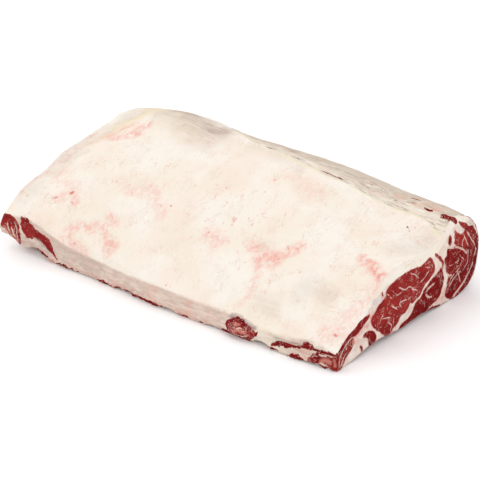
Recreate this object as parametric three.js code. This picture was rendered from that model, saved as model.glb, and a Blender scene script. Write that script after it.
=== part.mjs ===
// A boneless beef rib roast, lip on: the rib eye of seven ribs under its cap of fat, cut square at both ends.
// It is one piece of meat, so it is one solid. Millimetres, +Z up. X runs along the back, from the cut end
// whose lip curls up (-X) to the cut end that shows the eye (+X). Y runs from the thin lip (-Y) to the thick
// chine side (+Y). The roast lies on its rib side. Places in the tables below are measured from the -X cut
// along the back, and from the lip inwards.
import * as THREE from "three";
import { mergeVertices } from "three/addons/utils/BufferGeometryUtils.js";

// Driving dimensions.
const LENGTH = 420; // from cut to cut
const CREST_IN = 165; // the back's highest line lies this far in from the lip
const SHOULDER = 65; // from that line out to the widest point of the chine side
const FOOT_TUCK = 34; // how far the chine side's foot is tucked in under its widest point
const WAIST_SHARE = 0.45; // height of that widest point, as a share of the back's height

// The prints of the ribs that were boned out: [place, depth at the lip's edge], and their common form.
const RIB_PRINTS = [[38, 11], [107, 2], [164, 3], [222, 4.5], [279, 2.5], [336, 6], [393, 2]];
const RIB_PRINT = { wide: 30, deep: 4, from: 18, to: 176 };

// Stations along the back: [place, value].
const BACK_HEIGHT = [
  [0, 99], [22, 109], [90, 119], [150, 114.7], [215, 113.6],
  [280, 110.6], [340, 102.5], [395, 97.2], [420, 92],
];
const LIP_HEIGHT = [
  [0, 40], [24, 42], [60, 36], [105, 32], [156, 29],
  [207, 24.5], [257, 21.5], [310, 18.5], [365, 15.5], [420, 18],
];
const LIP_LINE = [
  [0, -1], [30, 4], [60, 3.5], [125, 1], [165, -2],
  [205, -6], [300, -7], [380, -8.5], [420, -5],
];
const LIP_ROUNDNESS = [[0, 1.7], [70, 1.5], [160, 1.4], [420, 1.4]]; // 1 is a straight slope up from the lip

// Rims of the two cuts, where the cap ends: [in from the lip, height]. Each draws the back to it.
const CURLED_RIM = [
  [-1, 39], [8, 47], [23, 58], [38, 63], [53, 65.5],
  [68, 71], [83, 80], [98, 83], [129, 87], [177, 95],
];
const FACE_RIM = [
  [-5, 18], [2, 24], [24, 39.5], [41, 53], [70, 71],
  [94, 72], [138, 71.5], [152, 74.5], [163, 80], [183, 90.5],
];
const RIM_REACH = { curled: 66, face: 115 };

// Hollows (deep > 0) and swells (deep < 0) of the fat cap: centre, reach along and across the back, depth.
const CAP_HOLLOWS = [
  { x: 300, y: 60, along: 50, across: 30, deep: 2.5 },
  { x: 215, y: 95, along: 60, across: 40, deep: -2 },
  { x: 110, y: 60, along: 46, across: 34, deep: -2.5 },
];

// The cap is trimmed thinner beyond a line, which one grid line at a share of the back's width follows.
const TRIM_LINE = [[120, 184], [183, 171], [240, 164], [300, 155], [357, 153], [385, 158], [420, 180]];
const TRIM_EDGE = { full: [180, 340], deep: 3.5, deepAtFace: 1.4, width: 10, share: 0.78 };

// The +X cut leans out at its top, and the lean meat stands out from it a little.
const FACE_LEAN = { out: 4, from: 30, to: 178 };
const FACE_SWELLS = [
  { y: 88, z: 34, wide: 46, high: 30, out: 4 },
  { y: 196, z: 52, wide: 36, high: 40, out: 4.5 },
];
const FACE_LIFTS = [[56, 6.5], [126, 5.5]]; // its foot stands clear of the table in two places: [y, height]
const FACE_LIFT = { along: 45, across: 55 };

// The lip's cut edge: a groove of bared meat under the cap's overhang, and one knob of meat.
const LIP_GROOVE = { from: 335, deep: 4.5, share: 0.45, spread: 0.28 };
const LIP_KNOB = { x: 308, wide: 17, out: 5 };
const LIP_CURL = { along: 40, across: 60, high: 18 }; // the corner that curls up off the table
const LIP_TIP = { out: 5, along: 40, across: 30, high: 46 }; // and reaches out past the cut

const RELIEF = { broad: 52, broadHigh: 1.3, fine: 23, fineHigh: 0.7 }; // the cap's own unevenness

// Grid lines of the solid's six sides, and how much closer they lie near its rims.
const GRID = { x: 54, y: 34, z: 12 };
const CROWDING = { x: 0.3, y: 0.35 };

const { clamp, lerp, smoothstep } = THREE.MathUtils;

// A smooth function through a table of stations, in cubic Hermite pieces.
function curveThrough(stations) {
  const slope = stations.map((_, i) => {
    const [x0, y0] = stations[Math.max(i - 1, 0)];
    const [x1, y1] = stations[Math.min(i + 1, stations.length - 1)];
    return (y1 - y0) / (x1 - x0);
  });
  return (x) => {
    const after = stations.findIndex(([place]) => place > x);
    const i = after < 0 ? stations.length - 2 : Math.max(after - 1, 0);
    const [x0, y0] = stations[i];
    const [x1, y1] = stations[i + 1];
    const h = x1 - x0;
    const t = clamp((x - x0) / h, 0, 1);
    const rise = y0 * (1 + 2 * t) * (1 - t) ** 2 + y1 * t * t * (3 - 2 * t);
    return rise + h * t * (1 - t) * (slope[i] * (1 - t) - slope[i + 1] * t);
  };
}

const crestHeight = curveThrough(BACK_HEIGHT);
const lipHeight = curveThrough(LIP_HEIGHT);
const lipLine = curveThrough(LIP_LINE);
const lipRoundness = curveThrough(LIP_ROUNDNESS);
const curledRim = curveThrough(CURLED_RIM);
const faceRim = curveThrough(FACE_RIM);
const trimLine = curveThrough(TRIM_LINE);

// 1 at no distance, falling smoothly to 0 at the reach.
const fade = (distance, reach) => 1 - smoothstep(Math.abs(distance), 0, reach);

// A fixed random number from -1 to 1 for each whole-numbered place.
function randomAt(i, j) {
  const s = Math.sin(i * 127.1 + j * 311.7) * 43758.5453;
  return 2 * (s - Math.floor(s)) - 1;
}

// Soft lumps of about one size, from -1 to 1.
function lumps(x, y, size) {
  const i = Math.floor(x / size);
  const j = Math.floor(y / size);
  const u = smoothstep(x / size - i, 0, 1);
  const v = smoothstep(y / size - j, 0, 1);
  const near = lerp(randomAt(i, j), randomAt(i + 1, j), u);
  const far = lerp(randomAt(i, j + 1), randomAt(i + 1, j + 1), u);
  return lerp(near, far, v);
}

// What the fat cap adds to the back's plain form: hollows, swells, the trimmed strip and soft lumps.
function capRelief(x, y) {
  const hollow = (h) => h.deep * fade(Math.hypot((x - h.x) / h.along, (y - h.y) / h.across), 1);
  const dents = CAP_HOLLOWS.reduce((sum, h) => sum + hollow(h), 0);
  const { full, deep, deepAtFace, width } = TRIM_EDGE;
  const starting = smoothstep(x, TRIM_LINE[0][0], full[0]);
  const trimDeep = lerp(deep, deepAtFace, smoothstep(x, full[1], LENGTH)) * starting;
  const trimmed = trimDeep * smoothstep(y - trimLine(x), 0, width);
  const broad = RELIEF.broadHigh * lumps(x, y, RELIEF.broad);
  const fine = RELIEF.fineHigh * lumps(x + 9, y + 5, RELIEF.fine);
  return (broad + fine) * smoothstep(y, 4, 30) - dents - trimmed;
}

// Height of the back over a plan point, before its relief: a slope up from the lip, then the rounded
// shoulder, and both drawn to the rims of the cuts near them.
function plainBack(x, y) {
  const lip = lipHeight(x);
  const crest = crestHeight(x);
  const waist = crest * WAIST_SHARE;
  const toCrest = clamp((CREST_IN - y) / (CREST_IN - lipLine(x)), 0, 1);
  const slope = lip + (crest - lip) * (1 - toCrest ** lipRoundness(x));
  const shoulder = waist + (crest - waist) * Math.sqrt(1 - ((y - CREST_IN) / SHOULDER) ** 2);
  const middle = y < CREST_IN ? slope : shoulder;
  const inRim = 1 - smoothstep(y, CREST_IN, CREST_IN + 18);
  const toCurled = inRim * (1 - smoothstep(x, 0, RIM_REACH.curled));
  const toFace = inRim * clamp(1 - (LENGTH - x) / RIM_REACH.face, 0, 1) ** 1.5;
  return middle + toCurled * (curledRim(y) - middle) + toFace * (faceRim(y) - middle);
}

// Height of the rib side: flat lands to rest on, a shallow print where each rib was boned out, the curled
// corner and the lifted foot of the +X cut.
function baseHeight(x, y) {
  const inward = smoothstep(y, RIB_PRINT.from, RIB_PRINT.from + 40);
  const under = 1 - smoothstep(y, RIB_PRINT.to - 24, RIB_PRINT.to);
  const printAcross = (place) => fade(x - place, RIB_PRINT.wide / 2);
  const print = ([place, lipDeep]) => printAcross(place) * lerp(lipDeep, RIB_PRINT.deep, inward);
  const prints = under * RIB_PRINTS.reduce((sum, rib) => sum + print(rib), 0);
  const curlAlong = 1 - smoothstep(x, 0, LIP_CURL.along);
  const curl = LIP_CURL.high * curlAlong * (1 - smoothstep(y, 0, LIP_CURL.across));
  const lift = FACE_LIFTS.reduce((sum, [middle, high]) => sum + high * fade(y - middle, FACE_LIFT.across), 0);
  return prints + curl + lift * fade(LENGTH - x, FACE_LIFT.along);
}

// How far the lip's cut edge stands out at a share of its height.
function lipRelief(x, share) {
  const { from, deep, share: middle, spread } = LIP_GROOVE;
  const groove = deep * fade(share - middle, spread) * smoothstep(x, from, from + 15);
  const knob = LIP_KNOB.out * fade(x - LIP_KNOB.x, LIP_KNOB.wide) * fade(share - 0.4, 0.55);
  return 2 * Math.sin(Math.PI * share) + knob - groove;
}

// The four edges of the cross-section at x, each a function from a share to a point [y, z].
function sectionEdges(x) {
  const crest = crestHeight(x);
  const waist = crest * WAIST_SHARE;
  const topOut = CREST_IN + SHOULDER * Math.SQRT1_2;
  const trim = trimLine(x);
  const foot = CREST_IN + SHOULDER - FOOT_TUCK;
  const lip = lipLine(x);
  const lipTop = lipHeight(x);
  const lipFoot = baseHeight(x, lip);
  return {
    back: (b) => {
      const beyond = (b - TRIM_EDGE.share) / (1 - TRIM_EDGE.share);
      const y = beyond < 0 ? lerp(lip, trim, b / TRIM_EDGE.share) : lerp(trim, topOut, beyond);
      return [y, plainBack(x, y) + capRelief(x, y) * (1 - smoothstep(b, 0.9, 1))];
    },
    base: (b) => {
      const y = lerp(lip, foot, b);
      return [y, baseHeight(x, y)];
    },
    lip: (c) => [lip - lipRelief(x, c), lerp(lipFoot, lipTop, c)],
    chine: (c) => {
      if (c > 0.5) {
        const turn = ((c - 0.5) * Math.PI) / 2;
        return [CREST_IN + SHOULDER * Math.cos(turn), waist + (crest - waist) * Math.sin(turn)];
      }
      const rise = 2 * c;
      const roundness = 2.8;
      return [foot + FOOT_TUCK * (1 - (1 - rise) ** roundness) ** (1 / roundness), waist * rise];
    },
  };
}

// A point of the cross-section, blended from its four edges (a Coons patch).
function sectionPoint({ back, base, lip, chine }, b, c) {
  const [onBack, onBase, onLip, onChine] = [back(b), base(b), lip(c), chine(c)];
  const corner = [lip(0), chine(0), lip(1), chine(1)];
  return [0, 1].map((k) => {
    const sides = (1 - c) * onBase[k] + c * onBack[k] + (1 - b) * onLip[k] + b * onChine[k];
    const low = (1 - b) * corner[0][k] + b * corner[1][k];
    const high = (1 - b) * corner[2][k] + b * corner[3][k];
    return sides - (1 - c) * low - c * high;
  });
}

// How far a point moves along the back to give both cuts their form.
function cutShift(x, y, z) {
  const toFace = smoothstep(x, LENGTH - 110, LENGTH);
  const lean = smoothstep(y, 0, FACE_LEAN.from) * (1 - smoothstep(y, FACE_LEAN.to - 22, FACE_LEAN.to + 12));
  const leanOut = FACE_LEAN.out * lean * (z / crestHeight(x)) ** 1.3;
  const swell = (s) => s.out * fade(Math.hypot((y - s.y) / s.wide, (z - s.z) / s.high), 1);
  const swells = FACE_SWELLS.reduce((sum, s) => sum + swell(s), 0);
  const atTip = (1 - smoothstep(y, 0, LIP_TIP.across)) * (1 - smoothstep(z, LIP_TIP.high / 2, LIP_TIP.high));
  const tip = LIP_TIP.out * atTip * (1 - smoothstep(x, 0, LIP_TIP.along));
  return toFace * (swells + leanOut) - tip;
}

// Moves a share from 0 to 1 towards the nearer end.
const crowded = (share, amount) => share - (amount * Math.sin(2 * Math.PI * share)) / (2 * Math.PI);

// Splits each grid cell into triangles along its shorter diagonal. A cell's indices come as a, b, d, b, c, d.
function turnDiagonals(mesh) {
  const index = mesh.getIndex();
  const corner = (i) => new THREE.Vector3().fromBufferAttribute(mesh.getAttribute("position"), i);
  for (let i = 0; i < index.count; i += 6) {
    const [a, b, d, , c] = index.array.slice(i, i + 6);
    const turned = corner(a).distanceTo(corner(c)) < corner(b).distanceTo(corner(d));
    if (turned) index.array.set([a, b, c, a, c, d], i);
  }
}

// A gridded box, bent point by point into the roast.
function roastGeometry() {
  const box = new THREE.BoxGeometry(1, 1, 1, GRID.x, GRID.y, GRID.z);
  box.deleteAttribute("normal");
  box.deleteAttribute("uv");
  const roast = mergeVertices(box);
  const position = roast.getAttribute("position");
  for (let i = 0; i < position.count; i++) {
    const x = LENGTH * crowded(position.getX(i) + 0.5, CROWDING.x);
    const b = crowded(position.getY(i) + 0.5, CROWDING.y);
    const c = position.getZ(i) + 0.5;
    const [y, z] = sectionPoint(sectionEdges(x), b, c);
    position.setXYZ(i, x + cutShift(x, y, z), y, z);
  }
  turnDiagonals(roast);
  return roast;
}

// The frame's origin is under the middle of the roast.
const geometry = roastGeometry();
geometry.computeBoundingBox();
const { min, max } = geometry.boundingBox;
geometry.translate(-(min.x + max.x) / 2, -(min.y + max.y) / 2, -min.z);
geometry.computeVertexNormals();

const fat = new THREE.MeshStandardMaterial({ color: "#f4e6d8", roughness: 0.45, metalness: 0 });
const roast = new THREE.Mesh(geometry, fat);
roast.name = "rib_roast";

const part = new THREE.Group();
part.add(roast);
export default part;
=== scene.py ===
"""Raw boneless beef rib roast with its lip on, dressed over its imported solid.

Sizes in the classes are millimetres, measured from the corner where the far cut, the lip and the board meet:
x runs along the roast to the cut that shows the eye, y from the lip to the chine, z up from the board.
A copy of the solid is refined and shared out among the roast's sides. They shape it and paint layers on it,
and the one material reads those layers.
"""

import logging
import math
from collections.abc import Sequence
from dataclasses import dataclass, field
from enum import Enum

import bmesh
import bpy
import numpy as np
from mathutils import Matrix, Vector, noise


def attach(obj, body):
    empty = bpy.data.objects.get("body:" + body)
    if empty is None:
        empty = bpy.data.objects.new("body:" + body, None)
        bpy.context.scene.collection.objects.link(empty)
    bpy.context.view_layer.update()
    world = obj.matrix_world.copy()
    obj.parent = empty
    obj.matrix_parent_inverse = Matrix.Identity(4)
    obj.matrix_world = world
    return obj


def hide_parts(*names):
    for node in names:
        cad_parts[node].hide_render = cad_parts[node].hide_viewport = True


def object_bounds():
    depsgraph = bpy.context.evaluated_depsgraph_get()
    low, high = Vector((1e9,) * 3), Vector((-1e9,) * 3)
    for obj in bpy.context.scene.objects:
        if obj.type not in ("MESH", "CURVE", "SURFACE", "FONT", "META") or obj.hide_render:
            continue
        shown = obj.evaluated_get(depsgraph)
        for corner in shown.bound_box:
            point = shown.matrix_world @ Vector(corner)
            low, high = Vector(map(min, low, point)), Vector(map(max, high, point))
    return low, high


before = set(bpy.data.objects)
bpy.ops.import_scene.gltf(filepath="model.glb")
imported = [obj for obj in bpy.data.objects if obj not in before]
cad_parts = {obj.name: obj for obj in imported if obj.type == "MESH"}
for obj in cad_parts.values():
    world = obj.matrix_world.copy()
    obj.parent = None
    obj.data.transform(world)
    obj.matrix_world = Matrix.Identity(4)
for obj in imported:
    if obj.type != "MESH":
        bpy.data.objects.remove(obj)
SOLID_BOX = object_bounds()

LOG = logging.getLogger("rib_roast")
MM = 0.001
CORNER = np.array((-0.210044, -0.108323, 0.0))  # metres to the corner that sizes are measured from
FAR_OFF = -20.0  # depth in a layer where nothing is painted
CLAIMED = 0.02  # share of a place from which a side paints and shapes it
OWNED = 0.3  # share of a place from which a side's own meat shows there
SEAM_REACH = 6.0  # millimetres from a seam to where its layer ends
STAIN_EDGE = (-0.9, 0.8)  # how a stain fades in, as shares of its half width
STRAY_LIMIT = 7.0  # the most that a stain strays
SOFT_STRAY = ((1.0, 15.0), (0.5, 6.0))  # height and distance of the lumps that a stain strays by
SHARP_STRAY = ((1.0, 4.5), (0.6, 2.2))  # and of those that fray the edge of a muscle
SOFT_SHARE = 0.6  # how much of a stain's stray the edge of a muscle has too
FRAYED = 1.5  # how frayed the edges of muscles are on an uncut side
PROUD = 0.0008  # metres that the relief may stand past the solid's box
EVEN = 400.0  # distance between lumps that leaves an axis even
SEED_SHIFT = 7.31  # how far one seed moves a pattern
TINY = 1e-9  # keeps a divisor from zero
LIT = 0.845  # share of a colour that shows as that colour under the studio's lights

Point = tuple[float, float]
Span = tuple[float, float]
Place = tuple[float, float, float]
Colour = tuple[float, float, float]
Row = tuple[float | Point, ...]


def fade(value: np.ndarray, low: float, high: float) -> np.ndarray:
    """Smooth step from 0 at low to 1 at high."""
    share = np.clip((value - low) / (high - low), 0.0, 1.0)
    return share * share * (3.0 - 2.0 * share)


def ridge(distance: np.ndarray, width: float = 1.0) -> np.ndarray:
    """Rounded ridge, 1 on its line and nearly 0 at two widths from it."""
    return np.exp(-((distance / width) ** 2))


def table(rows: Sequence[Point], where: np.ndarray) -> np.ndarray:
    """Reads a table of sizes at each place, straight between its rows."""
    across, values = np.array(rows).T
    return np.interp(where, across, values)


def linear(red: int, green: int, blue: int) -> Colour:
    """Scene-linear colour of a colour given from 0 to 255, as it looks under the studio's lights."""
    shares = (red / 255, green / 255, blue / 255)
    return tuple(LIT * (c / 12.92 if c <= 0.04045 else ((c + 0.055) / 1.055) ** 2.4) for c in shares)


@dataclass(frozen=True)
class Lumps:
    """Random lumps of one size: their height, their distance along each axis, and their pattern's seed."""

    height: float
    apart: float | Place
    seed: float

    def over(self, points: np.ndarray) -> np.ndarray:
        """Height at each place, to both sides of 0."""
        scaled = points / np.asarray(self.apart) + self.seed * SEED_SHIFT
        return self.height * np.fromiter(map(noise.noise, scaled.tolist()), float, len(scaled))


def relief(points: np.ndarray, sizes: Sequence[Lumps]) -> np.ndarray:
    """Height of several sizes of lumps together."""
    return sum(lumps.over(points) for lumps in sizes)


class Side(Enum):
    """The roast's sides."""

    CAP = ("cap", (0, 1))
    EYE_END = ("eye end", (1, 2))
    FAR_END = ("far end", (1, 2))
    LIP = ("lip", (0, 2))
    CHINE = ("chine", (0, 2))
    RIB = ("rib side", (0, 1))

    def __init__(self, title: str, axes: tuple[int, int]) -> None:
        """Names a side.

        Args:
            title: Its name, which also tells it from the side with the same axes.
            axes: The two axes that its marks are laid out on.
        """
        self.title, self.axes = title, list(axes)


class Layer(Enum):
    """What is painted on the surface."""

    EYE_LEAN = ("eye_lean", FAR_OFF)
    DARK_LEAN = ("dark_lean", FAR_OFF)
    SIDE_LEAN = ("side_lean", FAR_OFF)
    SEAM = ("seam", FAR_OFF)
    SEAM_NEAR = ("seam_near", 0.0)
    THREAD = ("thread", FAR_OFF)
    THREAD_NEAR = ("thread_near", 0.0)
    BLUSH = ("blush", 0.0)
    # stains, and painted shade where a surface turns away from the light or lies in a slot
    STAIN_AND_SHADE = ("stain_and_shade", 0.0)
    SPOT = ("spot", 0.0)
    SALLOW = ("sallow", 0.0)
    LIP_EDGE = ("lip_edge", FAR_OFF)
    TRIM_EDGE = ("trim_edge", FAR_OFF)
    CUT = ("cut", 0.0)
    RIB = ("rib", 0.0)
    CHINE = ("chine", 0.0)

    def __init__(self, attribute: str, bare: float) -> None:
        """Names a layer.

        Args:
            attribute: The name of its attribute.
            bare: Its value where nothing is painted.
        """
        self.attribute, self.bare = attribute, bare


FRAYED_CUT = {Side.EYE_END: 0.45, Side.FAR_END: 0.8}
LEAN_LAYERS = (Layer.EYE_LEAN, Layer.DARK_LEAN, Layer.SIDE_LEAN)
SEAM_LAYERS = {Layer.SEAM: Layer.SEAM_NEAR, Layer.THREAD: Layer.THREAD_NEAR}


@dataclass(frozen=True)
class Mark:
    """A muscle, seam, blush or crease on one side, through a few given points.

    A mark with no width is a closed outline. One with a width is a line along its points.
    """

    side: Side
    layer: Layer
    points: tuple[Point, ...]
    half_width: float = 0.0
    strength: float = 1.0
    steps: int = 5

    def path(self) -> np.ndarray:
        """Points of the smooth line through the given points.

        Returns:
            The points, one row each, with the first repeated at the end of a closed outline.
        """
        knots = np.array(self.points, float)
        if self.half_width:
            padded = np.vstack([2 * knots[0] - knots[1], knots, 2 * knots[-1] - knots[-2]])
        else:
            padded = np.vstack([knots[-1], knots, knots[:2]])
        a, b, c, d = padded[:-3, None], padded[1:-2, None], padded[2:-1, None], padded[3:, None]
        t = np.linspace(0.0, 1.0, self.steps, endpoint=False)[None, :, None]
        curve = b + 0.5 * t * (c - a + t * (2 * a - 5 * b + 4 * c - d + t * (3 * (b - c) + d - a)))
        return np.vstack([curve.reshape(-1, 2), padded[-2]])

    def nearest(self, flat: np.ndarray) -> tuple[np.ndarray, np.ndarray]:
        """Distance from each place to the line, and on which side of it the place is.

        Args:
            flat: Places on the mark's side, one row each.

        Returns:
            The distances, and the distances with a minus sign to the right of the line.
        """
        line = self.path()
        start, run = line[:-1], np.diff(line, axis=0)
        reach = flat[:, None] - start
        share = np.clip((reach * run).sum(2) / np.maximum((run**2).sum(1), TINY), 0, 1)
        gap = reach - share[..., None] * run
        distance = np.sqrt((gap**2).sum(2))
        closest = distance.argmin(1)
        row = np.arange(len(flat))
        turn = run[closest, 0] * gap[row, closest, 1] - run[closest, 1] * gap[row, closest, 0]
        return distance[row, closest], distance[row, closest] * np.where(turn < 0, -1, 1)

    def depth(self, flat: np.ndarray) -> np.ndarray:
        """Millimetres inside the mark's edge, negative outside it.

        Args:
            flat: Places on the mark's side, one row each.

        Returns:
            One depth for each place.
        """
        distance, _ = self.nearest(flat)
        if self.half_width:
            return self.half_width - distance
        line = self.path()
        (ax, ay), (bx, by) = line[:-1].T, line[1:].T
        x, y = flat[:, :1], flat[:, 1:]
        crossed = (ay > y) != (by > y)
        meets = ax + (y - ay) * (bx - ax) / np.where(by == ay, TINY, by - ay)
        inside = ((crossed & (x < meets)).sum(1) % 2).astype(bool)
        return np.where(inside, distance, -distance)


def outlines(side: Side, layer: Layer, *rows: tuple[Point, ...]) -> tuple[Mark, ...]:
    """Muscles, each from a row of the points round it."""
    return tuple(Mark(side, layer, points) for points in rows)


def strands(side: Side, layer: Layer, *rows: Row) -> tuple[Mark, ...]:
    """Slips of meat or seams of fat, each from a row of a half width and the points along it."""
    return tuple(Mark(side, layer, tuple(points), half) for half, *points in rows)


def stains(side: Side, layer: Layer, *rows: Row) -> tuple[Mark, ...]:
    """Stains that fade out, each from a row of a half width, a strength and the points along it."""
    return tuple(Mark(side, layer, tuple(points), half, strength) for half, strength, *points in rows)


class Surface:
    """The roast's skin as arrays: its places and normals, how far each side claims them, and its paint."""

    def __init__(self, mesh: bpy.types.Mesh) -> None:
        """Reads a mesh.

        Args:
            mesh: The refined roast, in metres.
        """
        self.mesh = mesh
        count = len(mesh.vertices)
        places, normals = np.empty(count * 3, np.float32), np.empty(count * 3, np.float32)
        mesh.vertices.foreach_get("co", places)
        mesh.vertices.foreach_get("normal", normals)
        self.points = (places.reshape(-1, 3).astype(float) - CORNER) / MM
        self.normals = normals.reshape(-1, 3).astype(float)
        self.claims: dict[Side, np.ndarray] = {}
        self.strays: dict[Side, tuple[np.ndarray, np.ndarray, np.ndarray]] = {}
        self.layers = {layer: np.full(count, layer.bare) for layer in Layer}

    def flat(self, side: Side, chosen: np.ndarray) -> np.ndarray:
        """The chosen places, laid out on a side's two axes."""
        return self.points[chosen][:, side.axes]

    def stray(self, side: Side) -> tuple[np.ndarray, np.ndarray, np.ndarray]:
        """How far marks stray on a side.

        Args:
            side: The side, whose claim is settled.

        Returns:
            The places that the side claims, and the stray there of a stain and of a frayed edge.
        """
        if side not in self.strays:
            chosen = np.flatnonzero(self.claims[side] > CLAIMED)
            LOG.debug("%s: %d places", side.title, len(chosen))
            here = self.points[chosen]
            soft, sharp = (
                np.stack([relief(here, [Lumps(*lump, seed) for lump in lumps]) for seed in seeds], 1)
                for lumps, seeds in ((SOFT_STRAY, (21, 22)), (SHARP_STRAY, (23, 24)))
            )
            self.strays[side] = chosen, soft, (SOFT_SHARE * soft + sharp) * FRAYED_CUT.get(side, FRAYED)
        return self.strays[side]

    def paint(self, marks: Sequence[Mark]) -> None:
        """Paints marks into their layers.

        Muscles keep the depth inside their edge, seams the distance from the nearest one, and stains a share.

        Args:
            marks: What to paint.
        """
        for mark in marks:
            chosen, soft, frayed = self.stray(mark.side)
            layer = self.layers[mark.layer]
            cut = mark.layer in LEAN_LAYERS or mark.layer in SEAM_LAYERS
            stray = frayed if cut else soft * min(mark.half_width, STRAY_LIMIT)
            flat = self.flat(mark.side, chosen) + stray
            if mark.layer in LEAN_LAYERS:
                layer[chosen] = np.maximum(layer[chosen], mark.depth(flat))
            elif mark.layer in SEAM_LAYERS:
                distance, across = mark.nearest(flat)
                near = self.layers[SEAM_LAYERS[mark.layer]]
                closer = (1 - distance / SEAM_REACH) > near[chosen]
                layer[chosen[closer]] = across[closer] / mark.half_width
                near[chosen] = np.maximum(near[chosen], 1 - distance / SEAM_REACH)
            else:
                share = mark.strength * fade(mark.depth(flat) / mark.half_width, *STAIN_EDGE)
                layer[chosen] = np.maximum(layer[chosen], share)

    def deepen(self, layer: Layer, chosen: np.ndarray, depth: np.ndarray) -> None:
        """Adds meat to a layer of lean.

        Args:
            layer: The layer.
            chosen: Which places the meat may show at.
            depth: Millimetres inside the meat's edge, at every place.
        """
        values = self.layers[layer]
        values[:] = np.where(chosen, np.maximum(values, depth), values)

    def lift(self, height: np.ndarray) -> None:
        """Moves each place along its normal, by a height in millimetres."""
        self.points += self.normals * height[:, None]

    def store(self) -> None:
        """Writes the places and the painted layers back to the mesh."""
        low, high = (np.array(corner) for corner in SOLID_BOX)
        places = np.clip(self.points * MM + CORNER, low - PROUD, high + PROUD)
        places[:, 2] = np.maximum(places[:, 2], 0.0)
        self.mesh.vertices.foreach_set("co", places.astype(np.float32).ravel())
        for layer, values in self.layers.items():
            made = self.mesh.attributes.new(layer.attribute, "FLOAT", "POINT")
            made.data.foreach_set("value", values.astype(np.float32))
        self.mesh.update()


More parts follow.
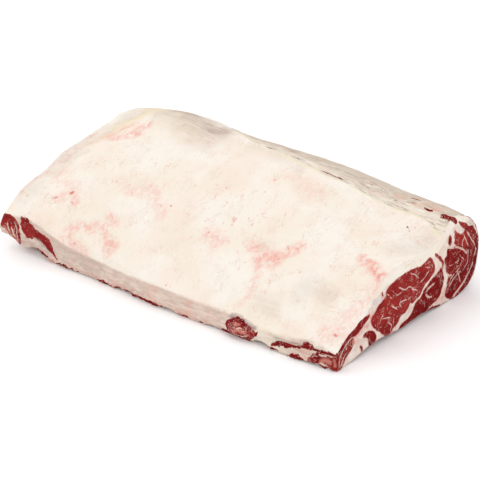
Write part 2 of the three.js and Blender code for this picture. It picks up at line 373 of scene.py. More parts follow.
@dataclass
class FatCap:
    """The pale fat over the roast's top, with its membrane, blushes, painted shade towards its far and left
    edges, and small blood spots.
    """

    swellings: tuple[Lumps, ...] = (
        Lumps(0.45, (18, 22, 18), 1.45),
        Lumps(0.32, (8, 16, 8), 1.32),
        Lumps(0.2, (4, 9, 4), 1.2),
        Lumps(0.1, (2.8, 4.5, 2.8), 1.1),
    )
    # Each crease is a depth, a width and the points along it.
    creases: tuple[Row, ...] = (
        (0.9, 1.6, (148, 60), (154, 54), (165, 47), (180, 36)),
        (1.3, 1.2, (63, 165), (73, 147), (78, 137)),
        (0.8, 2.5, (22, 92), (27, 112), (34, 134), (52, 152)),
        (0.7, 2.2, (12, 60), (20, 88), (40, 118)),
        (0.7, 1.8, (292, 46), (299, 30), (303, 12), (296, 2)),
        (0.6, 2.0, (186, 84), (206, 78), (222, 66), (238, 66)),
        (0.6, 2.2, (330, 118), (352, 112), (372, 96), (388, 84)),
        (0.5, 2.0, (120, 96), (142, 104), (164, 98), (176, 84)),
        (0.7, 1.4, (303, 73), (309, 71), (313, 64)),
        (0.6, 1.4, (82, 5), (80, 14), (94, 19), (110, 21), (124, 18), (134, 12), (135, 4)),
        (0.9, 1.3, (388, 143), (394, 142), (402, 139)),
        (0.6, 1.3, (415, 150), (422, 146)),
    )
    marks: tuple[Mark, ...] = (
        *stains(Side.CAP, Layer.BLUSH,
            (7, 1, (279, 55), (289, 53), (298, 51), (304, 53)),
            (4.5, 0.8, (288, 47), (296, 44)),
            (5, 0.9, (314, 61), (318, 66), (320, 72)),
            (6, 1, (384, 82), (392, 77), (401, 71), (410, 67), (417, 62)),
            (5, 0.7, (422, 60), (423, 52), (423, 44)),
            (9, 0.55, (421, 40), (414, 24), (408, 12), (398, 6)),
            (7, 0.8, (34, 122), (42, 134), (50, 138)),
            (6.5, 1, (50, 117), (62, 119), (70, 130), (74, 138)),
            (5, 0.7, (82, 5), (80, 12), (94, 17), (108, 20), (121, 18), (132, 12), (135, 4)),
            (5, 0.7, (130, 14), (137, 10)),
            (2.5, 0.55, (84, 2), (98, 1), (112, 1)),
            (5, 0.45, (133, 73), (157, 61), (164, 52)),
            (6, 0.28, (96, 66), (120, 60), (132, 66)),
            (6, 0.6, (226, 51), (236, 48), (246, 47)),
            (3, 0.5, (296, 38), (301, 31), (303, 22), (304, 10), (300, 3)),
            (8, 0.3, (24, 60), (40, 52), (58, 44)),
            (9, 0.25, (258, 138), (278, 132), (300, 126)),
            (6, 0.35, (8, 74), (14, 100), (26, 130)),
            (2.2, 0.45, (3, 22), (4, 60), (4, 100), (6, 140)),
            (4, 0.6, (110, 34), (118, 33), (125, 32), (120, 27)),
            (4, 0.6, (50, 32), (44, 31), (58, 40), (64, 34)),
        ),
        # Painted shade, darker where the cap turns away from the light at its far and left edges and in
        # shallow hollows and creases; at the far corner it is partly the membrane's own greyish tint.
        *stains(Side.CAP, Layer.STAIN_AND_SHADE,
            (9, 0.24, (350, 32), (362, 40), (378, 36)),
            (7, 0.25, (318, 14), (336, 12)),
            (4, 0.2, (281, 61), (286, 60)),
            (13, 1, (76, 186), (92, 180), (114, 173), (134, 168), (146, 167)),
            (24, 0.55, (84, 178), (112, 170), (140, 162)),
            (12, 0.27, (7, 26), (7, 60), (9, 100), (14, 140)),
            (12, 0.32, (20, 168), (44, 186), (76, 198)),
            (3, 0.3, (22, 82), (26, 90), (30, 94)),
            (7, 0.16, (196, 160), (226, 154), (262, 149)),
            (10, 0.3, (404, 112), (410, 128), (412, 146)),
        ),
        *stains(Side.CAP, Layer.SALLOW,
            (13, 0.75, (26, 152), (38, 160), (52, 172)),
            (9, 0.5, (20, 112), (30, 130), (44, 140)),
            (10, 0.4, (70, 176), (96, 164), (124, 152)),
        ),
        *stains(Side.CAP, Layer.SPOT,
            (1.6, 0.9, (55, 40), (56.5, 42)),
            (1, 0.45, (56, 41), (61, 38)),
            (1.5, 0.7, (43, 31), (44.5, 32.5)),
            (0.9, 0.4, (36, 27), (43, 31)),
            (1.1, 0.6, (62, 34), (64, 33)),
            (1.2, 1, (168, 64), (169, 64.5)),
            (1, 0.8, (156, 61), (158, 60)),
            (1.2, 0.8, (224, 51), (225, 53)),
            (1, 0.8, (240, 70), (243, 72)),
            (1, 0.7, (242, 66), (244, 68)),
            (1, 0.7, (309, 68), (312, 65)),
            (1, 0.7, (12, 20), (13, 22)),
            (1.4, 0.7, (408, 9), (410, 8)),
            (1.2, 0.5, (401, 70), (405, 69)),
            (3.5, 0.42, (403, 70), (410, 66), (416, 61), (419, 56)),
            (1.6, 1, (391, 175.5), (394, 175), (398, 175)),
            (0.9, 0.5, (111, 37), (116, 34)),
            (0.9, 0.5, (121, 37), (119, 33)),
            (0.9, 0.5, (126, 31), (121, 31)),
            (0.9, 0.5, (113, 26), (117, 29)),
            (0.9, 0.5, (122, 25), (120, 28)),
            # Flecks that all lean the same way, by their place and how long they are.
            *((0.9, 0.6, (x, y), (x - 0.25 * run, y + run)) for x, y, run in (
                (234, 90, 6), (211, 96, 3), (251, 103, 5), (262, 72, 7), (286, 92, 3), (316, 80, 5),
                (178, 88, 3))),
        ),
    )

    def shape(self, surface: Surface) -> np.ndarray:
        """Height of the membrane's lumps and creases, in millimetres.

        Args:
            surface: The roast's skin.

        Returns:
            One height for each place.
        """
        height = relief(surface.points, self.swellings)
        chosen = np.flatnonzero(surface.claims[Side.CAP] > CLAIMED)
        flat = surface.flat(Side.CAP, chosen)
        for deep, wide, *points in self.creases:
            distance, _ = Mark(Side.CAP, Layer.BLUSH, tuple(points), wide).nearest(flat)
            height[chosen] -= deep * ridge(distance, wide)
        return height * surface.claims[Side.CAP]


@dataclass
class TrimmedEdge:
    """The strip beyond the ridge where the back fat was trimmed: torn layers of membrane and fat."""

    line: tuple[Point, ...] = (
        (112, 200), (150, 184), (187, 166), (240, 159), (300, 152), (357, 160), (385, 164), (400, 164),
        (412, 160), (424, 156),
    )
    starts: float = 104.0
    widest: float = 60.0
    # How the ridge wanders, and the torn layers beyond it.
    wander: tuple[Lumps, ...] = (Lumps(1.6, (22, EVEN, EVEN), 3), Lumps(0.8, (8, EVEN, EVEN), 5))
    torn: tuple[Lumps, ...] = (Lumps(1.1, (70, 4.5, 4.5), 70), Lumps(0.6, (34, 2.6, 2.6), 34))
    torn_from: Span = (-1.0, 2.0)
    sunk: float = 0.5
    ridge_height: float = 0.9
    ridge_back: float = 1.5
    ridge_width: float = 2.2
    marks: tuple[Mark, ...] = (
        *strands(Side.CAP, Layer.EYE_LEAN,
            (2.2, (417, 202), (421, 207), (422, 214)),
        ),
        *strands(Side.CAP, Layer.DARK_LEAN,
            (1.2, (284, 158), (295, 158), (306, 158)),
            (1.9, (371, 186), (378, 187)),
            (0.8, (389, 147), (395, 144)),
            (1.4, (391, 175.6), (398, 175.2)),
            (2.2, (411, 174), (416, 174.3), (421, 174.5), (422, 181)),
            (1.8, (283, 158), (288, 158)),
            (0.9, (207, 168), (212, 168.5)),
            (0.8, (243, 165), (249, 165)),
        ),
        *stains(Side.CAP, Layer.BLUSH,
            (5, 0.8, (360, 178), (372, 182), (402, 182)),
        ),
        *stains(Side.CAP, Layer.STAIN_AND_SHADE,
            (1.6, 0.9, (206, 168), (216, 169)),
            (1.6, 0.9, (240, 165), (254, 165.5)),
        ),
    )

    def reach(self, surface: Surface) -> np.ndarray:
        """Millimetres beyond the trimmed ridge, negative on the cap.

        Args:
            surface: The roast's skin.

        Returns:
            One distance for each place.
        """
        p = surface.points
        beyond = p[:, 1] - table(self.line, p[:, 0]) + relief(p, self.wander)
        return np.where(p[:, 0] > self.starts, beyond, np.minimum(beyond, FAR_OFF))

    def paint(self, surface: Surface) -> None:
        """Lays the strip's reach and its slits into their layers.

        Args:
            surface: The roast's skin.
        """
        reach = np.clip(self.reach(surface), FAR_OFF, self.widest)
        surface.layers[Layer.TRIM_EDGE] = np.where(surface.claims[Side.CAP] > CLAIMED, reach, FAR_OFF)
        surface.paint(self.marks)

    def shape(self, surface: Surface) -> np.ndarray:
        """Height of the ridge and of the torn layers, in millimetres.

        Args:
            surface: The roast's skin.

        Returns:
            One height for each place.
        """
        claim, beyond = surface.claims[Side.CAP], self.reach(surface)
        torn = relief(surface.points, self.torn) - self.sunk
        raised = self.ridge_height * ridge(beyond + self.ridge_back, self.ridge_width) * claim
        return fade(beyond, *self.torn_from) * claim * torn + raised


@dataclass
class LipSide:
    """The thin edge of the lip: layered fat with torn meat under it, and a flap near the eye end."""

    height: tuple[Point, ...] = (
        (0, 39), (24, 41), (44, 37), (58, 32), (76, 27.5), (90, 25), (111, 24), (146, 22.3), (166, 22),
        (207, 23), (257, 21.5), (306, 20.5), (335, 17), (358, 17), (372, 18), (387, 19), (403, 19), (420, 17),
    )
    # How far in the band reaches, and how far below its top edge its layer is kept.
    inmost: float = 32.0
    lowest: float = 40.0
    top_edge: Span = (-1.5, 0.8)
    nicks: Lumps = Lumps(0.9, (9, EVEN, EVEN), 2)
    nicked_from: Span = (320.0, 345.0)
    striations: tuple[Lumps, ...] = (Lumps(0.5, (24, 2.6, 2.6), 2.6), Lumps(0.28, (12, 1.5, 1.5), 1.5))
    # The folds of the torn meat, and the fringe that it hangs down to the board in.
    torn_edge: Span = (-1.0, 1.5)
    folds: tuple[Lumps, ...] = (Lumps(1, 7, 16), Lumps(0.5, 3.5, 17))
    folds_up: float = 0.3
    fold_height: float = 1.2
    fringe: tuple[Lumps, ...] = (Lumps(1, (5, 30, 5), 18), Lumps(0.6, (2.6, 30, 4), 19))
    fringe_in: float = 0.5
    fringe_height: float = 1.6
    fringe_below: Span = (-7.0, -1.0)
    # The flap of fat that stands out along the top edge.
    flap_from: Span = (338.0, 352.0)
    flap_out: float = 1.3
    flap_back: float = 1.2
    flap_width: float = 1.6
    flap_rim: Span = (-4.0, -1.0)
    flap_inmost: float = 20.0
    flap_faces: float = -0.2
    # The slot under the flap, and the roof of it.
    slot_depth: float = 3.0
    slot_top: float = 1.6
    slot_height: float = 11.0
    slot_foot: float = 5.0
    roof_from: Span = (332.0, 342.0)
    roof_inmost: Span = (18.0, 12.0)
    roof_above: Span = (4.0, 6.0)
    # The dark meat that shows along the board, here high and there gone.
    gnawed: tuple[Lumps, ...] = (Lumps(6, (13, EVEN, EVEN), 31), Lumps(4, (4.5, EVEN, EVEN), 32))
    gnawed_height: float = 2.3
    marks: tuple[Mark, ...] = (
        *outlines(Side.LIP, Layer.EYE_LEAN,
            ((-6, 40), (2, 41), (6, 40.5), (12, 38), (16, 34), (18, 27), (14, 24), (8, 24), (2, 26),
             (-6, 30)),
            ((20, 39.5), (27, 40), (33, 36), (41, 31.5), (52, 29.5), (60, 25), (64, 19), (67, 11), (70, 4),
             (62, 11), (57, 15), (49, 20), (40, 24), (33, 20), (26, 21), (21, 29)),
        ),
        *outlines(Side.LIP, Layer.DARK_LEAN,
            ((348, 5.5), (353, 9), (360, 11), (370, 11.5), (378, 14.5), (386, 18.5), (394, 17.5),
             (408, 17.5), (422, 17), (422, 13.5), (405, 12.8), (392, 12.8), (383, 10.5), (372, 8.2),
             (360, 6.5)),
        ),
        *outlines(Side.LIP, Layer.SIDE_LEAN,
            ((-4, 30), (6, 26), (16, 29), (19, 24), (19.5, 16), (18.5, 8), (15, 9), (12, 14), (8, 18.5),
             (3, 22), (-3, 25)),
            ((306, 19), (300, 13), (297, 6), (302, 1), (313, 0), (324, 3), (332, 12), (323, 17), (314, 16)),
            ((389, 4), (395, 9), (402, 12.5), (410, 14), (426, 16), (426, -2), (392, -2)),
        ),
        *strands(Side.LIP, Layer.DARK_LEAN,
            (2.2, (158, 0), (170, 2), (186, 2), (199, 1)),
            (2, (299, 13), (304, 17), (311, 18), (319, 15.5), (327, 12)),
            (1.8, (299, 9), (301, 4), (308, 1)),
            (1.8, (324, 6), (329, 10), (333, 13)),
            (1.5, (398, 1), (404, 0.5), (412, 0.5), (422, 1)),
            (2.6, (301, 9), (299, 13), (302, 16)),
            (1.6, (41, 10), (45, 9), (50, 7.5), (54, 6.5)),
        ),
        *strands(Side.LIP, Layer.SIDE_LEAN,
            (0.9, (4, 21), (7, 16), (10, 11.5)),
            (0.8, (9, 18), (11, 13), (13.5, 8.5)),
        ),
        *strands(Side.LIP, Layer.SEAM,
            (0.8, (13, 31), (15, 24), (16, 10)),
            (0.7, (4, 31), (5, 25), (9, 13)),
            (0.6, (309, 5), (316, 4), (322, 7)),
            (0.7, (403, 3.4), (408, 4.2), (412, 3.4)),
        ),
        *strands(Side.LIP, Layer.THREAD,
            (0.8, (9, 30), (10, 24), (12, 17)),
            (0.6, (310, 11), (316, 12)),
            (0.5, (395, 7.5), (402, 10), (411, 10.5), (418, 12)),
            (0.45, (404, 13), (412, 13.5), (420, 15)),
        ),
        *stains(Side.LIP, Layer.BLUSH,
            (1.3, 1, (307, 8), (312, 10), (319, 8.5)),
            (1, 1, (306, 14), (311, 14.5)),
            (1.3, 1, (403, 6), (408, 7), (412, 6)),
            (1, 1, (415, 8.5), (418, 5)),
            (4, 0.55, (60, 2), (110, 2), (160, 3), (230, 3), (290, 2)),
            (4, 0.5, (376, 3), (386, 4)),
            (5, 0.5, (64, 26), (78, 30)),
            (3.5, 0.6, (2, 22), (8, 17), (14, 12)),
        ),
        *stains(Side.LIP, Layer.STAIN_AND_SHADE,
            (1.9, 0.8, (300, 20.5), (308, 20.5), (318, 18.5), (328, 17)),
            # Painted shade in the slot under the flap.
            (1.7, 0.5, (352, 12.5), (366, 13), (378, 18), (386, 20), (392, 19.5)),
            (3, 0.55, (0, 37), (8, 35), (14, 31)),
            (4, 0.55, (24, 36), (34, 30), (46, 24), (56, 16)),
            (9, 0.2, (62, 22), (90, 20), (125, 16)),
            (6, 0.28, (24, 14), (36, 10), (50, 8)),
        ),
        *stains(Side.LIP, Layer.SPOT,
            (2, 0.4, (212, 13), (213, 5), (211, 0)),
        ),
        *stains(Side.LIP, Layer.SALLOW,
            (7, 0.8, (330, 11), (344, 8), (358, 8)),
        ),
    )

    def edge(self, surface: Surface) -> np.ndarray:
        """Millimetres below the top edge of the band, negative on the cap.

        Args:
            surface: The roast's skin.

        Returns:
            One depth for each place.
        """
        p = surface.points
        top = table(self.height, p[:, 0]) + self.nicks.over(p) * fade(p[:, 0], *self.nicked_from)
        return np.where(p[:, 1] < self.inmost, np.clip(top - p[:, 2], FAR_OFF, self.lowest), FAR_OFF)

    def roof(self, surface: Surface) -> np.ndarray:
        """The roof of the slot under the flap, 1 on it, which faces down and still belongs to the lip."""
        x, y, z = surface.points.T
        return fade(x, *self.roof_from) * fade(y, *self.roof_inmost) * fade(z, *self.roof_above)

    def claim(self, surface: Surface) -> np.ndarray:
        """How far the lip claims each place, from 0 to 1."""
        x, y, z = surface.points.T
        return fade(table(self.height, x) - z, *self.top_edge) * (y < self.inmost)

    def paint(self, surface: Surface) -> None:
        """Lays the band's edge and its meat into their layers, gnawed along the board.

        Args:
            surface: The roast's skin.
        """
        on = surface.claims[Side.LIP] > CLAIMED
        banded = on | (surface.claims[Side.RIB] > OWNED)
        surface.layers[Layer.LIP_EDGE] = np.where(banded, self.edge(surface), FAR_OFF)
        surface.paint(self.marks)
        p = surface.points
        surface.deepen(Layer.DARK_LEAN, on, self.gnawed_height + relief(p, self.gnawed) - p[:, 2])

    def shape(self, surface: Surface) -> np.ndarray:
        """Height of the striations, the torn meat, the flap and the slot under it, in millimetres.

        Args:
            surface: The roast's skin.

        Returns:
            One height for each place.
        """
        p, below, claim = surface.points, self.edge(surface), surface.claims[Side.LIP]
        meat = np.maximum(surface.layers[Layer.SIDE_LEAN], surface.layers[Layer.DARK_LEAN])
        folds = fade(meat, *self.torn_edge) * (self.fold_height * (relief(p, self.folds) + self.folds_up))
        fringe = self.fringe_height * (relief(p, self.fringe) - self.fringe_in)
        fringe = fringe * fade(-p[:, 2], *self.fringe_below)
        flap = fade(p[:, 0], *self.flap_from)
        foot = fade(self.slot_height - below, 0.0, self.slot_foot)
        slot = fade(below, 0.0, self.slot_top) * foot * flap
        rim = ridge(below + self.flap_back, self.flap_width) * flap
        turned = (p[:, 1] < self.flap_inmost) * (surface.normals[:, 1] < self.flap_faces)
        edge_on = np.maximum(claim, fade(below, *self.flap_rim) * turned)
        layered = relief(p, self.striations) + folds + fringe - self.slot_depth * slot
        return claim * layered + edge_on * self.flap_out * rim


@dataclass
class CutEnd:
    """A sawn end of the roast: its muscles, the seams of fat between them and the rim of fat over them."""

    side: Side
    marks: tuple[Mark, ...]
    rim: tuple[Point, ...]
    rim_fades: Span = (6.0, 20.0)
    lean_stands: float = 0.35
    lean_edge: Span = (-0.8, 1.2)
    seam_sinks: float = 0.3
    seam_edge: Span = (0.3, 0.6)
    ripple: Lumps = Lumps(0.25, 9, 4)

    def paint(self, surface: Surface) -> None:
        """Lays the end's cut fat, muscles and seams into their layers.

        Args:
            surface: The roast's skin.
        """
        p, cut = surface.points, surface.layers[Layer.CUT]
        under_rim = table(self.rim, p[:, 1]) - p[:, 2]
        cut[:] = np.maximum(cut, surface.claims[self.side] * fade(under_rim, *self.rim_fades))
        surface.paint(self.marks)

    def shape(self, surface: Surface) -> np.ndarray:
        """Height of the lean above the seams, in millimetres.

        Args:
            surface: The roast's skin.

        Returns:
            One height for each place.
        """
        layers = surface.layers
        lean = np.max([layers[layer] for layer in LEAN_LAYERS], axis=0)
        seams = [ridge(layers[seam]) * fade(layers[near], *self.seam_edge)
                 for seam, near in SEAM_LAYERS.items()]
        height = self.lean_stands * fade(lean, *self.lean_edge) - self.seam_sinks * np.max(seams, axis=0)
        return surface.claims[self.side] * (height + self.ripple.over(surface.points))


def eye_end() -> CutEnd:
    """The cut that shows the eye of the rib, with the long muscles beside it and the tapering lip.

    Returns:
        The cut.
    """
    side, eye, dark, torn = Side.EYE_END, Layer.EYE_LEAN, Layer.DARK_LEAN, Layer.SIDE_LEAN
    rim = ((-8, 18), (0, 26), (8, 29), (16, 36), (24, 40), (32, 46), (40, 57), (48, 62), (64, 71), (80, 73),
           (120, 71), (144, 72), (152, 74), (160, 78), (168, 83), (176, 90), (184, 91), (200, 85), (216, 74),
           (224, 67), (232, 54))
    muscles = (
        *outlines(side, eye,
            ((139, 62), (133, 61), (128, 59.5), (123, 58.5), (111, 60.5), (99, 61.5), (87, 60.5), (77, 59),
             (70, 57), (66, 53), (66, 49), (59, 46), (54, 42.5), (50, 38), (46.5, 36), (45, 32), (46, 28),
             (50, 23), (58, 16.5), (65, 10), (71, 5.5), (77, 5), (81, 6), (83, 9.5), (88, 11), (91, 14),
             (92, 18), (101, 20), (105, 24), (107, 27), (112, 24), (119, 25.5), (125, 26.5), (128, 30),
             (134, 35.5), (140, 37.5), (145, 40.5), (148.5, 43), (149, 47), (147, 52), (144, 57)),
            ((181, 76), (185, 71.5), (192, 67.5), (199, 68.5), (203, 65), (204, 58), (199, 53), (192, 55),
             (186, 58), (181, 60), (180, 63), (181, 65), (180, 67), (181, 70)),
            ((188, 81), (195, 78.5), (202, 75), (205, 71), (213, 69), (219, 63), (224, 55), (219, 52),
             (212, 57), (206, 63), (201, 67.5), (196, 72), (191, 76.5)),
        ),
        *outlines(side, dark,
            ((161, 43), (157, 41.5), (153, 39.5), (146, 37), (140, 34), (136, 31.5), (131.5, 30),
             (130, 26.5), (126, 23.5), (119, 22), (116, 18.5), (114, 14.5), (111, 11), (104, 9), (96, 8),
             (93, 4), (102, 3), (114, 4), (125, 4.5), (134, 4), (140, 5), (144, 6.5), (149, 8), (155, 9.5),
             (161, 11.5), (164, 15), (165, 19), (167, 23), (168, 29), (166, 33), (164, 37)),
            ((173, 60), (170, 60), (168, 56), (169, 52), (165, 50.5), (167.5, 43), (169.5, 38), (171.5, 33),
             (178, 30), (182, 27), (176, 25), (175, 20), (173, 15), (171.5, 9), (177, 4), (184, 0.5),
             (192, -1), (198, -1), (205, 0), (212, 2.5), (218, 9), (223, 15), (226, 24), (229, 36),
             (229, 46), (225, 55), (219, 63), (214, 67), (208, 64), (203, 60), (194, 58), (186, 60),
             (181, 58)),
            ((173.3, 72.5), (176.2, 69), (176, 65), (175.2, 62), (172.8, 61.5), (170, 64.6), (170.4, 68.5),
             (171.6, 72)),
            ((42, 40), (35, 40), (27, 38), (22, 35.5), (14, 32), (8, 29), (2, 25.5), (-4, 20), (-8, 18),
             (-8, 12), (-3, 17), (4, 21.5), (10, 24.5), (16, 25.5), (23, 26), (30, 29), (37, 33.5),
             (42, 37)),
            ((46, 22), (41, 22.5), (36, 22), (34.5, 19), (41, 16), (43, 11), (45, 5), (51, 6), (56, 9.5),
             (55.5, 13), (51, 18.5)),
        ),
        *outlines(side, torn,
            ((-8, 19), (-3, 18.5), (2, 21.5), (8, 25), (14, 26.5), (19, 25), (21, 20), (17, 14), (11, 10),
             (7, 6.5), (3, 1.5), (-2, -1), (-9, -1)),
        ),
        *strands(side, eye,
            (1.6, (148, 62), (154, 57), (160, 51), (163, 46), (162, 41)),
            (1.9, (204, 84), (212, 78), (219, 71), (224, 64), (227.5, 58), (230, 48)),
        ),
        *strands(side, dark,
            (1.3, (31, 11.5), (33, 9), (33.5, 6.5)),
            (1.1, (177, 28), (175.5, 25), (174.5, 20)),
            (2, (143, 3.5), (150, 3.5), (156, 2), (162, 1)),
            (2.4, (175, 89), (180, 86), (184, 82)),
            (0.9, (60, 55), (61.5, 51.5)),
        ),
    )
    fat = (
        *strands(side, Layer.SEAM,
            (1.1, (168, 61.5), (176, 58.5), (185, 56.5), (193, 51.5), (202, 44)),
            (0.68, (196, 64), (200, 57), (203, 52), (205, 46), (206, 40), (208, 32), (203, 28)),
            (0.84, (191.5, 30.5), (185, 27.5), (179.5, 23)),
            (0.61, (192, 26), (196, 20), (198, 15)),
            (0.53, (193.6, 36), (192.2, 33)),
            (1.2, (149, 30), (142, 29), (137.5, 26.5), (137.5, 22.5), (141.5, 19), (147, 17.5)),
            (0.61, (138, 47.5), (133.7, 44.7), (129.7, 42.3), (124, 41.6)),
            (0.46, (143.5, 51), (142.8, 48)),
            (0.68, (86.5, 50.5), (95, 45.5), (104.5, 44.5), (110, 40), (117, 36.5)),
            (0.76, (75.5, 35.5), (81, 31.5)),
            (0.68, (64, 27.6), (73, 25.2)),
            (0.53, (107, 57), (113, 54), (120, 48)),
            (0.61, (73, 19.5), (78.5, 14.5), (78.6, 9)),
            (0.5, (16, 26), (8, 22.5), (3, 18), (-1, 12.5), (-2, 4)),
            (0.9, (8.5, 17.5), (10.5, 14.5)),
        ),
        *strands(side, Layer.THREAD,
            (0.76, (203, 65), (209, 57.5), (217, 49.5), (222, 43), (223, 37), (221, 31)),
            (1.1, (223, 37), (221, 31), (219, 25), (215, 20), (211, 16), (206, 12)),
            (1.7, (211, 16), (206, 11.5), (200, 8), (192, 4.5), (187, 2.5)),
            (0.76, (192, 26.5), (186, 22), (179, 17.5)),
            (0.68, (195, 62), (192, 59), (192, 56)),
            (0.61, (177, 39.5), (183, 40), (188, 41)),
            (0.53, (190, 45.5), (196.5, 40)),
            (0.46, (133.5, 53.6), (139.5, 51)),
            (0.68, (88, 31.5), (86, 35.5), (93, 35.4), (101, 33), (105.5, 34)),
            (0.61, (82.5, 44.6), (88.5, 45.2)),
            (0.61, (69, 50), (73, 46)),
            (0.53, (60, 27), (62, 31.5)),
            (0.53, (80, 20), (81, 16)),
            (0.55, (17, 17.5), (12, 16), (7, 12), (3, 8), (0, 2.5)),
        ),
    )
    stained = (
        *stains(side, Layer.BLUSH,
            (2.5, 0.9, (88, 13), (83, 9), (86, 5.5)),
            (4, 0.7, (170, 14), (163, 9), (157, 8)),
            (2.5, 0.8, (213, 22), (207, 16), (199, 11)),
            (2, 0.9, (62, 53), (63, 49)),
            (4, 0.75, (44, 40), (50, 28)),
            (3.5, 0.75, (22, 22), (30, 26), (40, 29)),
        ),
        *stains(side, Layer.STAIN_AND_SHADE,
            (2.5, 0.7, (196, 72), (203, 68)),
            (2.2, 0.7, (46, 50), (54, 49), (60, 50)),
            (5, 0.85, (208, 72), (217, 62), (225, 50), (226, 36), (222, 22), (212, 10)),
            (5, 0.7, (178, 10), (188, 14), (198, 20), (206, 28)),
            (4, 0.5, (128, 8), (142, 12), (156, 20), (162, 30)),
        ),
    )
    return CutEnd(side, muscles + fat + stained, rim)


def far_end() -> CutEnd:
    """The cut towards the shoulder, where the eye is smaller and more muscles lie round it.

    Returns:
        The cut.
    """
    side, eye, dark, loose = Side.FAR_END, Layer.EYE_LEAN, Layer.DARK_LEAN, Layer.SIDE_LEAN
    rim = ((-8, 34), (4, 48), (28, 60), (64, 70), (88, 80), (136, 88), (184, 98), (208, 90), (220, 80))
    muscles = (
        *outlines(side, eye,
            ((60, 30), (66, 22), (74, 17), (86, 14.5), (98, 14), (110, 15.5), (122, 19), (132, 24),
             (140, 31), (146, 40), (147, 50), (143, 59), (135, 65), (124, 68), (112, 67), (98, 68), (88, 64),
             (78, 60), (70, 56), (62, 50), (57, 41)),
            ((36, 30), (42, 23), (50, 24), (54, 32), (54, 42), (49, 49), (42, 46), (37, 39)),
            ((6, 43), (16, 49), (28, 54), (42, 58), (55, 60), (61, 57), (50, 53), (36, 50), (22, 44),
             (12, 40)),
        ),
        *outlines(side, dark,
            ((68, 63), (78, 67), (90, 71.5), (104, 75), (118, 75), (132, 72), (144, 66), (152, 57),
             (156, 49), (160, 54), (160, 63), (155, 71), (146, 77), (132, 81), (118, 80), (102, 78),
             (88, 76), (76, 72), (68, 68)),
            ((157, 18), (166, 13), (176, 11), (188, 13), (196, 20), (200, 30), (201, 42), (197, 53),
             (189, 59), (178, 60), (168, 57), (161, 49), (157, 38), (153, 28)),
            ((0, 34), (8, 38), (18, 39), (28, 36), (32, 28), (25, 20), (14, 14), (4, 14), (-3, 24)),
            ((176, 66), (184, 64), (192, 61), (198, 57), (196, 62), (188, 67), (180, 69)),
        ),
        *outlines(side, loose,
            ((166, 80), (178, 81), (190, 76), (202, 67), (212, 55), (220, 42), (224, 28), (221, 14),
             (212, 6), (200, 6), (207, 14), (211, 28), (209, 42), (203, 55), (193, 65), (180, 70),
             (168, 72)),
            ((62, 12), (74, 8), (90, 5), (112, 5.5), (134, 7), (148, 11), (144, 17), (134, 17), (122, 12),
             (104, 8.5), (90, 9), (74, 13)),
        ),
        *strands(side, eye,
            (1.3, (150, 22), (152, 30), (152, 38)),
        ),
        *strands(side, dark,
            (1.8, (12, 6), (24, 5), (36, 8), (48, 9)),
        ),
        *strands(side, loose,
            (1.4, (140, 84), (152, 82), (160, 77)),
        ),
    )
    fat = (
        *strands(side, Layer.SEAM,
            (0.9, (57, 38), (68, 42), (80, 44), (92, 51), (106, 52), (116, 57)),
            (0.7, (100, 22), (110, 31), (124, 35), (134, 44)),
            (0.6, (124, 26), (130, 32)),
            (0.8, (84, 70), (98, 74), (114, 77), (130, 76)),
            (0.9, (158, 26), (168, 30), (178, 37), (186, 38), (194, 46)),
            (0.8, (216, 22), (214, 34), (209, 48), (200, 60), (188, 70)),
            (0.8, (0, 26), (10, 28), (20, 26), (29, 30)),
        ),
        *strands(side, Layer.THREAD,
            (0.7, (80, 44), (88, 38), (98, 36), (108, 30)),
            (0.6, (70, 30), (76, 26), (84, 26)),
            (0.6, (118, 48), (126, 52), (136, 50)),
            (0.6, (92, 60), (100, 58), (106, 62)),
            (0.8, (178, 37), (180, 46), (176, 56)),
            (0.7, (172, 16), (180, 22), (190, 24)),
            (0.7, (6, 20), (14, 22), (22, 30)),
            (0.8, (42, 28), (46, 36), (48, 44)),
        ),
    )
    stained = stains(side, Layer.BLUSH,
        (3, 0.7, (150, 14), (154, 10)),
        (3, 0.6, (58, 26), (56, 20), (60, 14)),
    )
    return CutEnd(side, muscles + fat + stained, rim)


